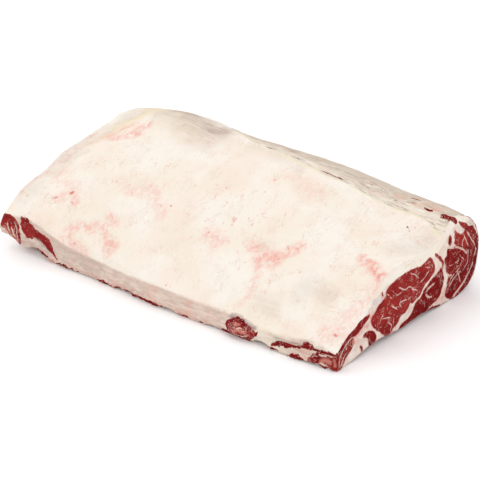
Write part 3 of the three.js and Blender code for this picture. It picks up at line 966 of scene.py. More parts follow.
@dataclass
class RibSide:
    """The side that the ribs were cut from: pale prints of the ribs with finger meat between them."""

    # Each rib's place along the roast, half its width and how far it bows.
    ribs: tuple[Place, ...] = (
        (38, 8.5, 3), (107, 11.5, -4), (164, 9, 3), (222, 12, 5), (279, 9.5, -3), (336, 11.5, 4),
        (393, 8.5, -2),
    )
    membranes: tuple[Mark, ...] = strands(
        Side.RIB, Layer.THREAD,
        (0.9, (62, 40), (70, 70), (66, 104), (74, 140)),
        (0.9, (130, 60), (126, 96), (134, 130)),
        (0.9, (190, 34), (184, 66), (192, 92)),
        (0.9, (246, 80), (252, 110), (248, 150)),
        (0.9, (308, 44), (312, 80), (304, 120), (310, 150)),
        (0.9, (368, 60), (364, 92), (372, 128)),
    )
    # Where the prints lie between the lip and the chine, and how much narrower they get.
    print_from: float = 22.0
    print_to: float = 172.0
    print_broad: float = 1.15
    print_taper: float = 0.35
    print_edge: tuple[Lumps, ...] = (Lumps(3.4, (26, 17, 30), 6), Lumps(1.6, (8, 7, 9), 8))
    # The fat along the lip, the seam by the chine, and how far the meat runs past the cuts.
    lip_fat: float = 17.0
    chine_seam: float = 186.0
    seam_width: float = 1.6
    seam_swells: Lumps = Lumps(1.4, (30, EVEN, EVEN), 11)
    wander: Lumps = Lumps(3.5, (26, 12, 30), 10)
    cuts: Span = (1.0, 422.0)
    past_cuts: float = 3.0
    # The torn meat between the prints.
    torn: Lumps = Lumps(1, (13, 28.6, 9), 9)
    torn_edge: Span = (-2.0, 3.0)
    torn_in: float = 0.7
    torn_height: float = 0.7

    def prints(self, surface: Surface) -> np.ndarray:
        """Millimetres inside the nearest rib's print, negative between the ribs.

        Args:
            surface: The roast's skin.

        Returns:
            One distance for each place.
        """
        p = surface.points
        inside = np.full(len(p), FAR_OFF)
        for rib, half, bow in self.ribs:
            share = (p[:, 1] - self.print_from) / (self.print_to - self.print_from)
            middle = rib + bow * np.sin(share * math.pi)
            along = np.maximum(np.maximum(self.print_from - p[:, 1], p[:, 1] - self.print_to + bow), 0)
            tapered = half * (self.print_broad - self.print_taper * p[:, 1] / self.print_to)
            inside = np.maximum(inside, tapered - np.hypot(p[:, 0] - middle, along))
        return inside + relief(p, self.print_edge)

    def paint(self, surface: Surface) -> None:
        """Lays the finger meat between the prints, with fat along the lip and a seam by the chine.

        Args:
            surface: The roast's skin.
        """
        p, claim = surface.points, surface.claims[Side.RIB]
        wander = self.wander.over(p)
        lip_fat = p[:, 1] - self.lip_fat + wander * 2
        seam = np.abs(p[:, 1] - self.chine_seam + wander) - self.seam_width - self.seam_swells.over(p)
        inward = np.minimum(p[:, 0] - self.cuts[0], self.cuts[1] - p[:, 0]) + self.past_cuts
        meat = np.minimum.reduce([-self.prints(surface), lip_fat, seam, inward])
        surface.deepen(Layer.SIDE_LEAN, claim > OWNED, meat)
        surface.layers[Layer.RIB] = claim
        surface.paint(self.membranes)

    def shape(self, surface: Surface) -> np.ndarray:
        """Depth of the torn meat between the prints, in millimetres, always into the roast."""
        torn = self.torn_height * (self.torn.over(surface.points) - self.torn_in)
        return surface.claims[Side.RIB] * torn * fade(-self.prints(surface), *self.torn_edge)


@dataclass
class ChineSide:
    """The thick side where the backbone was sawn off: dark meat under a yellow band of sinew and fat."""

    # Each spine's print: its place along the roast and above the board, half its width and half its height.
    spines: tuple[tuple[float, float, float, float], ...] = (
        (12, 30, 3.4, 15), (63, 38, 5.2, 11), (70, 20, 2.2, 7), (121, 31, 3.6, 19), (178, 36, 4.6, 13),
        (190, 22, 2.0, 6), (238, 30, 5.4, 16), (296, 37, 3.2, 12), (301, 19, 3.0, 8), (352, 32, 4.6, 17),
        (398, 38, 3.0, 10),
    )
    # How the prints lean over, waver and end, and the farthest that is told from them.
    lean: float = 0.5
    waver: float = 0.1
    waver_length: float = 5.0
    bluntness: float = 1.5
    farthest: float = 40.0
    # The meat, between the board and the scalloped band of sinew.
    meat_from: float = 4.0
    meat_top: float = 60.0
    meat_edge: tuple[Lumps, ...] = (Lumps(4, (24, 30, 12), 12), Lumps(2.2, (7, 9, 5), 13))
    print_frayed: float = 0.45
    scallops: tuple[Lumps, ...] = (Lumps(9, (62, EVEN, EVEN), 9), Lumps(4.5, (27, EVEN, EVEN), 4.5))
    saw: Lumps = Lumps(0.45, (26.4, 9, 5.5), 14)
    meat_stands: float = 0.6
    stands_from: Span = (-1.0, 1.5)
    sunk: float = 0.4
    hollow: float = 0.9
    hollow_edge: Span = (-2.0, 3.0)
    marks: tuple[Mark, ...] = (
        *strands(Side.CHINE, Layer.SEAM,
            (1, (2, 17), (30, 22), (58, 14), (88, 19), (112, 13), (150, 20), (172, 16)),
            (1, (206, 14), (232, 20), (262, 15), (290, 23), (330, 16), (366, 21), (418, 14)),
        ),
        *strands(Side.CHINE, Layer.THREAD,
            (0.9, (16, 52), (44, 46), (60, 51), (92, 45), (118, 53), (140, 49)),
            (0.9, (186, 50), (214, 44), (246, 50), (270, 44), (306, 52), (340, 45), (382, 49), (416, 44)),
            (0.7, (84, 34), (98, 30), (108, 36)),
            (0.7, (204, 32), (216, 36), (226, 31)),
            (0.7, (318, 30), (330, 35), (342, 30)),
        ),
    )

    def prints(self, surface: Surface) -> np.ndarray:
        """Millimetres outside the nearest print that a spine left.

        Args:
            surface: The roast's skin.

        Returns:
            One distance for each place.
        """
        x, _, z = surface.points.T
        outside = np.full(len(x), self.farthest)
        for along, up, wide, tall in self.spines:
            wavered = self.waver * wide * np.sin(z / self.waver_length)
            slanted = (x - along - self.lean * (z - up) + wavered) / wide
            raised = np.abs((z - up) / tall) ** self.bluntness
            outside = np.minimum(outside, (np.abs(slanted) + raised - 1) * wide)
        return outside

    def paint(self, surface: Surface) -> None:
        """Lays the meat, and the pale prints of the spines that were cut out of it.

        Args:
            surface: The roast's skin.
        """
        p, claim = surface.points, surface.claims[Side.CHINE]
        frayed = relief(p, self.meat_edge)
        top = self.meat_top + relief(p, self.scallops)
        between = np.minimum(top - p[:, 2], p[:, 2] - self.meat_from) + frayed
        meat = np.minimum(between, self.prints(surface) + frayed * self.print_frayed)
        surface.deepen(Layer.SIDE_LEAN, claim > OWNED, meat)
        surface.layers[Layer.CHINE] = claim
        surface.paint(self.marks)

    def shape(self, surface: Surface) -> np.ndarray:
        """Height of the saw's drag and of the torn meat, in millimetres.

        Args:
            surface: The roast's skin.

        Returns:
            One height for each place.
        """
        meat = self.meat_stands * fade(surface.layers[Layer.SIDE_LEAN], *self.stands_from)
        hollow = self.hollow * fade(-self.prints(surface), *self.hollow_edge)
        return surface.claims[Side.CHINE] * (self.saw.over(surface.points) + meat - self.sunk - hollow)


class Wire:
    """One value of a shader that is added, scaled and compared like a number."""

    def __init__(self, bench: "Bench", socket: bpy.types.NodeSocket) -> None:
        """Wraps a socket.

        Args:
            bench: Where the socket's node stands.
            socket: The output that gives the value.
        """
        self.bench, self.socket = bench, socket

    def __add__(self, other: "Wire | float") -> "Wire":
        """Sum."""
        return self.bench.maths("ADD", self, other)

    __radd__ = __add__

    def __sub__(self, other: "Wire | float") -> "Wire":
        """Difference."""
        return self.bench.maths("SUBTRACT", self, other)

    def __rsub__(self, other: float) -> "Wire":
        """Difference from a number."""
        return self.bench.maths("SUBTRACT", other, self)

    def __mul__(self, other: "Wire | float") -> "Wire":
        """Product."""
        return self.bench.maths("MULTIPLY", self, other)

    __rmul__ = __mul__

    def __abs__(self) -> "Wire":
        """Size without its sign."""
        return self.bench.maths("ABSOLUTE", self)

    def __or__(self, other: "Wire | float") -> "Wire":
        """The larger of two."""
        return self.bench.maths("MAXIMUM", self, other)

    __ror__ = __or__

    def step(self, low: float, high: float) -> "Wire":
        """Smooth step from 0 at low to 1 at high, downhill where low is the larger."""
        node = self.bench.node("ShaderNodeMapRange", {"interpolation_type": "SMOOTHSTEP"},
                               {"Value": self, "From Min": low, "From Max": high})
        return Wire(self.bench, node.outputs[0])


class Bench:
    """A material's node tree, with one method that adds any node."""

    SHIFT = (0.37, 0.61)

    def __init__(self, name: str) -> None:
        """Makes an empty material.

        Args:
            name: The material's name.
        """
        self.material = bpy.data.materials.new(name)
        self.material.use_nodes = True
        self.tree = self.material.node_tree
        self.tree.nodes.clear()

    def node(self, kind: str, settings: dict[str, object],
             sockets: dict[str | int, object]) -> bpy.types.Node:
        """Adds a node.

        Args:
            kind: The node's type.
            settings: Its settings, which are set first.
            sockets: The value or the wire of each named or numbered input.

        Returns:
            The node.
        """
        made = self.tree.nodes.new(kind)
        for name, value in settings.items():
            setattr(made, name, value)
        for key, value in sockets.items():
            if isinstance(value, Wire):
                self.tree.links.new(value.socket, made.inputs[key])
            else:
                made.inputs[key].default_value = value
        return made

    def maths(self, operation: str, *values: Wire | float) -> Wire:
        """Adds a Math node."""
        node = self.node("ShaderNodeMath", {"operation": operation}, dict(enumerate(values)))
        return Wire(self, node.outputs[0])

    def layer(self, layer: Layer) -> Wire:
        """A layer that is painted on the piece."""
        node = self.node("ShaderNodeAttribute", {"attribute_name": layer.attribute}, {})
        return Wire(self, node.outputs["Fac"])

    def place(self) -> Wire:
        """The piece's own coordinates, in metres."""
        return Wire(self, self.node("ShaderNodeTexCoord", {}, {}).outputs["Object"])

    def grain(self, apart: float | Place, detail: float, rough: float = 0.5, twist: float = 0.0) -> Wire:
        """Random grain, from 0 to 1 round a half.

        Args:
            apart: Distance between its lumps in millimetres, or one distance for each axis.
            detail: Finer layers.
            rough: Strength of the finer layers.
            twist: How far the lumps are drawn out of shape.

        Returns:
            The grain's value.
        """
        sizes = (apart,) * 3 if isinstance(apart, (int, float)) else apart
        mapped = self.node("ShaderNodeMapping", {}, {
            "Vector": self.place(),
            "Scale": tuple(1 / (size * MM) for size in sizes),
            "Location": (sizes[0] * self.SHIFT[0], sizes[1] * self.SHIFT[1], detail),
        })
        node = self.node("ShaderNodeTexNoise", {}, {
            "Vector": Wire(self, mapped.outputs[0]), "Scale": 1.0, "Detail": detail, "Roughness": rough,
            "Distortion": twist,
        })
        return Wire(self, node.outputs[0])

    def veins(self, line: Span, apart: float | Place, detail: float, rough: float, twist: float) -> Wire:
        """Thin lines that wander where grain passes its middle, 1 along each.

        Args:
            line: How far from the middle a line ends, and how far it is full.
            apart: Distance between the grain's lumps in millimetres, or one distance for each axis.
            detail: Finer layers of the grain.
            rough: Strength of the finer layers.
            twist: How far the lumps are drawn out of shape.

        Returns:
            The lines' strength, from 0 to 1.
        """
        return abs(self.grain(apart, detail, rough, twist) - 0.5).step(*line)

    def mix(self, share: Wire | float, first: Wire | Colour, second: Wire | Colour) -> Wire:
        """Mixes two colours.

        Args:
            share: How much of the second shows.
            first: A colour or a wire.
            second: A colour or a wire.

        Returns:
            The mixed colour.
        """
        pair = [c if isinstance(c, Wire) else (*c, 1.0) for c in (first, second)]
        # This node has its colours on the inputs numbered 6 and 7, and on the output numbered 2.
        node = self.node("ShaderNodeMix", {"data_type": "RGBA"}, {0: share, 6: pair[0], 7: pair[1]})
        return Wire(self, node.outputs[2])

    def finish(self, sockets: dict[str, object]) -> bpy.types.Material:
        """Ends the tree in one Principled shader.

        Args:
            sockets: The value or the wire of each of the shader's named inputs.

        Returns:
            The material.
        """
        shader = self.node("ShaderNodeBsdfPrincipled", {}, sockets)
        self.node("ShaderNodeOutputMaterial", {}, {"Surface": Wire(self, shader.outputs[0])})
        return self.material


class Coat:
    """A colour that is built up in layers, each laid over the last."""

    def __init__(self, bench: Bench, ground: Wire | Colour) -> None:
        """Starts a coat.

        Args:
            bench: The material's nodes.
            ground: The lowest colour.
        """
        self.bench, self.colour = bench, ground

    def lay(self, share: Wire, colour: Wire | Colour) -> "Coat":
        """Lays a colour over the coat.

        Args:
            share: How much of the colour shows.
            colour: The colour.

        Returns:
            The coat.
        """
        self.colour = self.bench.mix(share, self.colour, colour)
        return self


@dataclass(frozen=True)
class FatFinish:
    """Beef fat: cream on the cap, greyer where it was trimmed, pinker where it was cut."""

    cream: Colour = linear(255, 247, 236)
    butter: Colour = linear(252, 241, 226)
    chalk: Colour = linear(242, 231, 219)
    peach: Colour = linear(250, 226, 208)
    blush: Colour = linear(247, 168, 156)
    blood: Colour = linear(224, 92, 82)
    fleck: Colour = linear(238, 138, 112)
    # painted shade in the membrane's wrinkles and folds
    fold_shade: Colour = linear(238, 206, 186)
    # painted shade, with some greyish tint of the membrane
    grey_shade_and_tint: Colour = linear(198, 179, 166)
    torn_light: Colour = linear(245, 234, 218)
    torn_dark: Colour = linear(230, 215, 199)
    torn_line: Colour = linear(172, 148, 130)
    ridge: Colour = linear(247, 238, 202)
    band_light: Colour = linear(240, 221, 206)
    band_dark: Colour = linear(214, 190, 176)
    cut_light: Colour = linear(246, 232, 222)
    cut_dark: Colour = linear(232, 208, 195)
    lean_edge: Colour = linear(218, 130, 116)
    sinew: Colour = linear(226, 206, 160)
    sallow: Colour = linear(246, 230, 200)
    # stains on the band, and painted shade in the slot under the flap
    band_stain_and_shade: Colour = linear(126, 98, 108)
    cut_stain: Colour = linear(205, 196, 206)

    def cap(self, bench: Bench, wrinkle: Wire) -> Wire:
        """Colour of the cap, with painted shade in its wrinkles and towards its far and left edges, and its
        blushes, veins and blood spots.

        Args:
            bench: The material's nodes.
            wrinkle: 1 in the folds of the membrane.

        Returns:
            The colour.
        """
        coat = Coat(bench, self.cream).lay(bench.grain(48, 3).step(0.38, 0.62), self.butter)
        coat.lay(bench.grain((2, 9, 2.6), 4, 0.62, 0.4).step(0.48, 0.75) * 0.45, self.chalk)
        coat.lay(bench.grain(62, 3).step(0.48, 0.66) * 0.35, self.peach)
        # Painted shade in the membrane's wrinkles.
        coat.lay(wrinkle * 0.5, self.fold_shade)
        coat.lay(bench.layer(Layer.SALLOW), self.sallow)
        cloudy = bench.grain((4.5, 8, 4.5), 4, 0.66, 0.7).step(0.34, 0.66)
        warm = bench.grain(30, 3, 0.6).step(0.54, 0.78) * 0.2
        blushed = bench.layer(Layer.BLUSH) * (cloudy * 0.8 + 0.06) + warm * cloudy
        coat.lay(blushed, self.blush)
        vein = bench.veins((0.01, 0.002), 26, 3, 0.55, 0.7) * bench.grain(34, 1).step(0.54, 0.64)
        coat.lay(vein * 0.3, self.blush)
        # Painted shade towards the cap's far and left edges and in its hollows, made streaky.
        streaky = bench.grain((34, 5, 5), 4, 0.65, 0.5).step(0.36, 0.6)
        coat.lay(bench.layer(Layer.STAIN_AND_SHADE) * (streaky * 0.4 + 0.55), self.grey_shade_and_tint)
        fleck = bench.veins((0.02, 0.004), (5, 15, 7), 2, 0.5, 1)
        fleck = fleck * bench.grain((6, 12, 6), 1).step(0.56, 0.66)
        coat.lay(fleck * bench.grain(40, 2).step(0.46, 0.62) * 0.75, self.fleck)
        blood = (bench.layer(Layer.SPOT) + (bench.grain(2.2, 2) - 0.5) * 0.8).step(0.25, 0.95)
        return coat.lay(blood * 0.85, self.blood).colour

    def torn(self, bench: Bench) -> Wire:
        """Colour of the trimmed strip: long torn layers, with painted shade on its outer part.

        Args:
            bench: The material's nodes.

        Returns:
            The colour.
        """
        reach = bench.layer(Layer.TRIM_EDGE)
        layers = bench.grain((46, 9, 9), 4, 0.62, 0.5).step(0.34, 0.66)
        coat = Coat(bench, self.torn_light).lay(layers, self.torn_dark)
        line = bench.veins((0.034, 0.004), (44, 5, 5), 3, 0.6, 0.9)
        line = line * bench.grain((30, 9, 9), 2).step(0.42, 0.56)
        on_strip = reach.step(46.0, 20.0) * (reach.step(-12.0, -4.0) * 0.75 + 0.25)
        coat.lay(line * on_strip * 0.7, self.torn_line)
        coat.lay(bench.grain((26, 7, 7), 3).step(0.56, 0.78) * 0.3, self.blush)
        coat.lay(bench.grain((22, 4, 4), 3, 0.6).step(0.54, 0.66) * 0.75, self.cream)
        drawn = bench.veins((0.06, 0.01), (70, 3, 3), 3, 0.6, 0.5)
        drawn = drawn * bench.grain((40, 14, 14), 2).step(0.38, 0.56)
        cloudy = bench.grain((36, 9, 9), 3, 0.6).step(0.35, 0.65)
        far = reach.step(9.0, 18.0) * reach.step(46.0, 30.0) * (drawn * 0.5 + cloudy * 0.26)
        # Painted shade on the strip's outer part, where it turns down towards the chine.
        outer_shade = reach.step(20.0, 33.0) * reach.step(60.0, 44.0) * 0.34
        coat.lay(bench.layer(Layer.STAIN_AND_SHADE) * 0.6 | far | outer_shade, self.torn_line)
        blotch = bench.grain((9, 4, 4), 3).step(0.4, 0.65)
        return coat.lay(bench.layer(Layer.BLUSH) * blotch * 0.5, self.fleck).colour

    def band(self, bench: Bench) -> Wire:
        """Colour of the lip's side: soft layers along the roast, with painted shade under the cap's rim.

        Args:
            bench: The material's nodes.

        Returns:
            The colour.
        """
        below = bench.layer(Layer.LIP_EDGE)
        layers = bench.grain((13, 5, 3.6), 4, 0.66, 0.8).step(0.32, 0.68)
        coat = Coat(bench, self.band_light).lay(layers, self.band_dark)
        # Painted shade under the cap's rim: darker towards the band's top edge.
        coat.lay(below.step(9.0, 0.0) * 0.45, self.band_dark)
        # Whitish streaks towards the band's bottom: partly the fat's own streaks and partly painted
        # highlight.
        low = bench.grain((7, 5, 4), 3, 0.6).step(0.52, 0.72) * below.step(5.0, 14.0)
        coat.lay(low * 0.7, self.torn_light)
        coat.lay(bench.grain(16, 3).step(0.52, 0.75) * 0.3, self.blush)
        coat.lay(bench.layer(Layer.SALLOW), self.torn_light)
        # Stains, and painted shade in the slot under the flap.
        coat.lay(bench.layer(Layer.STAIN_AND_SHADE) * 0.75, self.band_stain_and_shade)
        blotch = bench.grain((6, 4, 4), 3).step(0.4, 0.66)
        return coat.lay(bench.layer(Layer.BLUSH) * blotch * 0.55, self.blood).colour

    def cut(self, bench: Bench, near_lean: Wire) -> Wire:
        """Colour of fat where the knife went through it.

        Args:
            bench: The material's nodes.
            near_lean: 1 right beside a muscle.

        Returns:
            The colour, pinker beside the muscles.
        """
        coat = Coat(bench, self.cut_light).lay(bench.grain(8, 3, 0.6).step(0.35, 0.65), self.cut_dark)
        coat.lay(bench.layer(Layer.STAIN_AND_SHADE) * 0.6, self.cut_stain)
        blotch = bench.grain(4, 3).step(0.3, 0.6)
        coat.lay(bench.layer(Layer.BLUSH) * blotch * 0.75, self.lean_edge)
        return coat.lay(near_lean * 0.4, self.lean_edge).colour


@dataclass(frozen=True)
class LeanFinish:
    """Raw beef: red, finely grained and marbled."""

    bright: Colour = linear(163, 52, 49)
    deep: Colour = linear(124, 16, 19)
    soft: Colour = linear(186, 84, 74)
    marble: Colour = linear(232, 194, 182)
    ribbon: Colour = linear(220, 138, 122)
    darkest: Colour = linear(84, 4, 12)

    def colour(self, bench: Bench, brightness: Wire, torn: Wire) -> Wire:
        """Colour of the lean.

        Args:
            bench: The material's nodes.
            brightness: 1 where the muscle is bright, 0 where it is deep.
            torn: 1 where the meat is torn and streaky.

        Returns:
            The colour, marbled.
        """
        tone = (bench.grain(14, 3) - 0.5) * 1.5 + brightness * 0.5 + torn * 0.15 + 0.14
        coat = Coat(bench, self.deep).lay(tone.step(0, 1), self.bright)
        coat.lay(bench.grain(1.9, 3, 0.7).step(0.5, 0.85) * 0.3, self.soft)
        # Darker meat where the stain-and-shade layer is painted: stains and deeper meat, and painted shade in
        # the slot under the flap.
        darkened = bench.layer(Layer.STAIN_AND_SHADE) * bench.grain(7, 3, 0.6).step(0.3, 0.6)
        coat.lay(darkened * 0.6, self.darkest)
        pale = bench.grain((9, 7, 7), 3, 0.6, 1.0).step(0.52, 0.68) * 0.45 | bench.layer(Layer.BLUSH) * 0.85
        coat.lay(torn * pale, self.ribbon)
        worm = bench.veins((0.026, 0.006), 7, 2, 0.5, 1.8) * bench.grain(6, 1, 0.5, 0.3).step(0.52, 0.58)
        crumb = bench.grain(2.6, 2, 0.6).step(0.62, 0.72) * bench.grain(9, 1).step(0.4, 0.6)
        crumb = crumb * (1 - brightness) * (1 - torn * 0.7)
        streak = torn * bench.veins((0.03, 0.006), (4, 4, 18), 2, 0.5, 0.6)
        streak = streak * bench.grain(12, 1).step(0.44, 0.62)
        speck = bench.grain(1.9, 2).step(0.66, 0.76)
        return coat.lay(worm * 0.75 | crumb * 0.36 | streak * 0.55 | speck * 0.4, self.marble).colour


@dataclass(frozen=True)
class RawBeef:
    """The roast's one finish: fat and lean, told apart by the painted layers."""

    fat: FatFinish = field(default_factory=FatFinish)
    lean: LeanFinish = field(default_factory=LeanFinish)
    edge: float = 0.3
    bump_strength: float = 0.85
    coat_roughness: float = 0.2

    def material(self) -> bpy.types.Material:
        """Makes the roast's material.

        Returns:
            The material.
        """
        bench = Bench("raw_beef")
        # The lean, with an edge that wobbles, and the fat right beside it.
        broad, fine = bench.grain(5, 2) - 0.5, bench.grain(1.6, 2) - 0.5
        wobble = broad * 1.5 + fine * 1.6
        depths = [bench.layer(layer) + wobble for layer in LEAN_LAYERS]
        eye, dark, side = (depth.step(-self.edge, self.edge) for depth in depths)
        lean = eye | dark | side
        near_lean = (depths[0] | depths[1] | depths[2]).step(-1.3, -0.2) * (1 - lean * 0.35)
        # Seams of fat show as gaps in the lean.
        for seam, near in SEAM_LAYERS.items():
            line = abs(bench.layer(seam) + broad * 1.1 + fine * 1.3).step(1.2, 0.5)
            line = line * bench.layer(near).step(0.45, 0.7) * bench.grain(6, 1).step(0.3, 0.42)
            lean = lean * (1 - line * 0.86)

        # Where each kind of fat shows, and what runs through it.
        cut, rib, chine = (bench.layer(layer) for layer in (Layer.CUT, Layer.RIB, Layer.CHINE))
        reach = bench.layer(Layer.TRIM_EDGE) + broad * 2.5
        torn = reach.step(-0.8, 1.0)
        ridge_top = abs(reach + 0.8).step(2.0, 0.6) * bench.grain(24, 2).step(0.36, 0.54)
        band = (bench.layer(Layer.LIP_EDGE) + broad * 2.0 + fine * 0.8).step(-1.4, 2.0)
        wrinkle = bench.veins((0.03, 0), (4.4, 16, 6), 2, 0.6, 1.1)
        wrinkle = wrinkle * bench.grain((15, 22, 15), 2).step(0.47, 0.6)
        sinew = bench.grain((70, 9, 5), 4, 0.65, 0.6).step(0.46, 0.62) * 0.5
        fold_shade = bench.veins((0.03, 0.004), (60, 9, 8), 3, 0.6, 0.8)
        fold_shade = fold_shade * bench.grain((24, 9, 9), 2).step(0.42, 0.58)

        # The coats of colour, from the cap's fat up to the lean.
        layered = self.fat.torn(bench)
        sawn = bench.mix(near_lean * 0.4, layered, self.fat.lean_edge)
        coat = Coat(bench, self.fat.cap(bench, wrinkle)).lay(torn, layered)
        coat.lay(ridge_top * 0.9, self.fat.ridge)
        coat.lay(band, self.fat.band(bench))
        coat.lay((cut.step(0.0, 0.8) | rib).step(0.1, 0.9), self.fat.cut(bench, near_lean))
        coat.lay(chine.step(0.1, 0.9), sawn)
        coat.lay(chine * sinew, self.fat.sinew)
        # Painted shade along the folds of the membranes on the chine and the rib side.
        coat.lay((chine | rib) * fold_shade * 0.5, self.fat.fold_shade)
        coat.lay(lean, self.lean.colour(bench, eye, side))

        # The finest relief.
        scratches = bench.grain((2.2, 10, 3), 4, 0.62, 0.4)
        skin = (scratches * 0.55 - wrinkle * 0.12) * (1 - lean) * 0.8
        strata = bench.grain((40, 3, 3), 3, 0.6) * (torn | band | chine) * 0.6
        fibres = bench.grain(1.3, 3, 0.6) * lean
        height = skin + strata + fibres * 0.3 + lean * 0.15 - fold_shade * chine * 0.3
        bump = bench.node("ShaderNodeBump", {}, {
            "Strength": self.bump_strength, "Distance": MM, "Height": height,
        })
        return bench.finish({
            "Base Color": coat.colour,
            "Roughness": 0.5 - lean * 0.1 + (bench.grain(6, 3) - 0.5) * 0.22,
            "Coat Weight": lean * 0.03 + 0.02,
            "Coat Roughness": self.coat_roughness,
            "Specular IOR Level": 0.0,
            "Normal": Wire(bench, bump.outputs[0]),
        })


@dataclass(frozen=True)
class Facing:
    """How a side is told from the others: the way its skin faces, and where along that axis it begins."""

    axis: int
    sign: int
    turned: Span
    begins: Span

    def claim(self, surface: Surface) -> np.ndarray:
        """How far the side claims each place, from 0 to 1."""
        turned = fade(self.sign * surface.normals[:, self.axis], *self.turned)
        return turned * fade(self.sign * surface.points[:, self.axis], *self.begins)


@dataclass
class RibRoast:
    """The whole roast: one piece of meat, refined from its solid, shaped and painted side by side."""

    node: str = "rib_roast"
    rim_angle: float = math.radians(42)
    rim_crease: float = 0.62
    refinements: int = 2
    join_distance: float = 1e-6
    eye_facing: Facing = Facing(0, 1, (0.35, 0.75), (400, 408))
    far_facing: Facing = Facing(0, -1, (0.45, 0.8), (-14, -6))
    chine_facing: Facing = Facing(1, 1, (0.45, 0.8), (196, 206))
    underside: Span = (0.4, 0.75)
    cap: FatCap = field(default_factory=FatCap)
    trimmed: TrimmedEdge = field(default_factory=TrimmedEdge)
    lip: LipSide = field(default_factory=LipSide)
    ends: tuple[CutEnd, CutEnd] = field(default_factory=lambda: (eye_end(), far_end()))
    ribs: RibSide = field(default_factory=RibSide)
    chine: ChineSide = field(default_factory=ChineSide)
    finish: RawBeef = field(default_factory=RawBeef)

    def refine(self) -> bpy.types.Object:
        """Copies the solid, joins its triangles to squares and rounds it.

        Returns:
            The piece, with a fine mesh and no modifier left.
        """
        work = bmesh.new()
        work.from_mesh(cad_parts[self.node].data)
        bmesh.ops.remove_doubles(work, verts=work.verts, dist=self.join_distance)
        bmesh.ops.join_triangles(
            work, faces=work.faces, angle_face_threshold=math.pi, angle_shape_threshold=math.pi)
        crease = work.edges.layers.float.new("crease_edge")
        for edge in work.edges:
            if edge.calc_face_angle(0.0) > self.rim_angle:
                edge[crease] = self.rim_crease
        rough = bpy.data.meshes.new("roast_rough")
        work.to_mesh(rough)
        work.free()
        for name in ("custom_normal", "sharp_edge", "sharp_face"):
            if name in rough.attributes:
                rough.attributes.remove(rough.attributes[name])
        rough.materials.clear()
        piece = bpy.data.objects.new("marbled_roast", rough)
        bpy.context.scene.collection.objects.link(piece)
        rounded = piece.modifiers.new("rounded", "SUBSURF")
        rounded.levels = rounded.render_levels = self.refinements
        fine = bpy.data.meshes.new_from_object(piece.evaluated_get(bpy.context.evaluated_depsgraph_get()))
        piece.modifiers.clear()
        piece.data = fine
        bpy.data.meshes.remove(rough)
        fine.shade_smooth()
        return piece

    def claim(self, surface: Surface) -> None:
        """Shares the surface out among the roast's sides.

        Args:
            surface: The refined surface.
        """
        claims = surface.claims
        for side, facing in ((Side.EYE_END, self.eye_facing), (Side.FAR_END, self.far_facing)):
            claims[side] = facing.claim(surface)
        claims[Side.RIB] = fade(-surface.normals[:, 2], *self.underside) * (1 - self.lip.roof(surface))
        claims[Side.LIP] = self.lip.claim(surface) * (1 - claims[Side.RIB])
        claims[Side.CHINE] = self.chine_facing.claim(surface) * (1 - claims[Side.RIB])
        ends = np.maximum(claims[Side.EYE_END], claims[Side.FAR_END])
        sides = (Side.LIP, Side.CHINE, Side.RIB)
        for side in sides:
            claims[side] = claims[side] * (1 - ends)
        claims[Side.CAP] = (1 - ends) * (1 - np.maximum.reduce([claims[side] for side in sides]))

    def build(self) -> bpy.types.Object:
        """Builds, shapes, paints and dresses the roast.

        Returns:
            The finished piece.
        """
        piece = self.refine()
        surface = Surface(piece.data)
        self.claim(surface)
        surface.paint(self.cap.marks)
        dressed = (self.trimmed, self.lip, *self.ends, self.ribs, self.chine)
        for part in dressed:
            part.paint(surface)
        surface.lift(sum(part.shape(surface) for part in (self.cap, *dressed)))
        surface.store()
        piece.data.materials.append(self.finish.material())
        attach(piece, "root")
        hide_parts(self.node)
        LOG.info("%s: %d faces", piece.name, len(piece.data.polygons))
        return piece


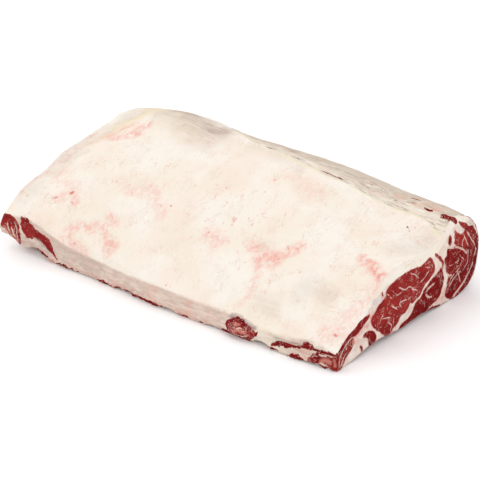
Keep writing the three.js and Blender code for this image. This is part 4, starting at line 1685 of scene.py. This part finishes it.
@dataclass
class Studio:
    """A pale floor under soft lights, and the camera."""

    floor_size: float = 14.0
    floor_drop: float = 0.0003
    floor_colour: Colour = (1.0, 1.0, 1.0)
    floor_roughness: float = 0.9
    floor_shine: float = 0.1
    sky_colour: Colour = (1.0, 1.0, 1.0)
    sky: float = 0.95
    camera_at: Place = (1.07904, -1.34533, 0.81044)
    aim: Place = (0.0016, 0.0091, 0.0281)
    lens: float = 142.5
    sensor: float = 36.0
    sees_to: float = 60.0
    # Each light's name, its place and its width in metres, and its watts.
    lights: tuple[tuple[str, Place, float, float], ...] = (
        ("over", (-0.35, 0.0, 1.9), 1.6, 5.0),
        ("rake", (-1.5, 1.0, 1.0), 0.8, 4.0),
        ("front", (-0.3, -2.1, 1.3), 1.6, 5.0),
        ("right", (2.2, -0.6, 1.0), 1.4, 5.5),
    )

    def stand(self, name: str, data: bpy.types.ID, at: Place) -> bpy.types.Object:
        """Stands a light or a camera in the scene, turned towards the roast.

        Args:
            name: The object's name.
            data: The light or the camera.
            at: Its place in metres.

        Returns:
            The object.
        """
        stood = bpy.data.objects.new(name, data)
        bpy.context.scene.collection.objects.link(stood)
        stood.location = at
        stood.rotation_mode = "QUATERNION"
        stood.rotation_quaternion = (Vector(self.aim) - Vector(at)).to_track_quat("-Z", "Y")
        LOG.info("studio: %s", name)
        return stood

    def light(self, name: str, at: Place, size: float, watts: float) -> None:
        """Hangs a square soft light that looks at the roast.

        Args:
            name: The light's name.
            at: Its place in metres.
            size: Its width in metres.
            watts: Its power.
        """
        lamp = bpy.data.lights.new(name, "AREA")
        lamp.size, lamp.energy = size, watts
        self.stand(name, lamp, at)

    def floor(self) -> None:
        """Lays the floor."""
        work = bmesh.new()
        bmesh.ops.create_grid(work, x_segments=1, y_segments=1, size=self.floor_size / 2)
        bmesh.ops.translate(work, verts=work.verts, vec=(0.0, 0.0, -self.floor_drop))
        mesh = bpy.data.meshes.new("floor")
        work.to_mesh(mesh)
        work.free()
        mesh.materials.append(Bench("floor_paint").finish({
            "Base Color": (*self.floor_colour, 1.0), "Roughness": self.floor_roughness,
            "Specular IOR Level": self.floor_shine,
        }))
        floor = bpy.data.objects.new("floor", mesh)
        bpy.context.scene.collection.objects.link(floor)

    def camera(self) -> None:
        """Sets up the camera."""
        lens = bpy.data.cameras.new("camera")
        lens.lens, lens.sensor_width, lens.clip_end = self.lens, self.sensor, self.sees_to
        bpy.context.scene.camera = self.stand("camera", lens, self.camera_at)

    def build(self) -> None:
        """Builds the camera, the floor, the lights and the sky."""
        self.camera()
        self.floor()
        for name, at, size, watts in self.lights:
            self.light(name, at, size, watts)
        world = bpy.data.worlds.new("studio_sky")
        world.use_nodes = True
        sky = world.node_tree.nodes["Background"].inputs
        sky["Color"].default_value = (*self.sky_colour, 1.0)
        sky["Strength"].default_value = self.sky
        bpy.context.scene.world = world
        bpy.context.scene.view_settings.view_transform = "Standard"


def main() -> None:
    """Builds the roast and its studio."""
    logging.basicConfig(level=logging.INFO, format="%(name)s %(message)s")
    RibRoast().build()
    Studio().build()


if __name__ == "__main__":
    main()
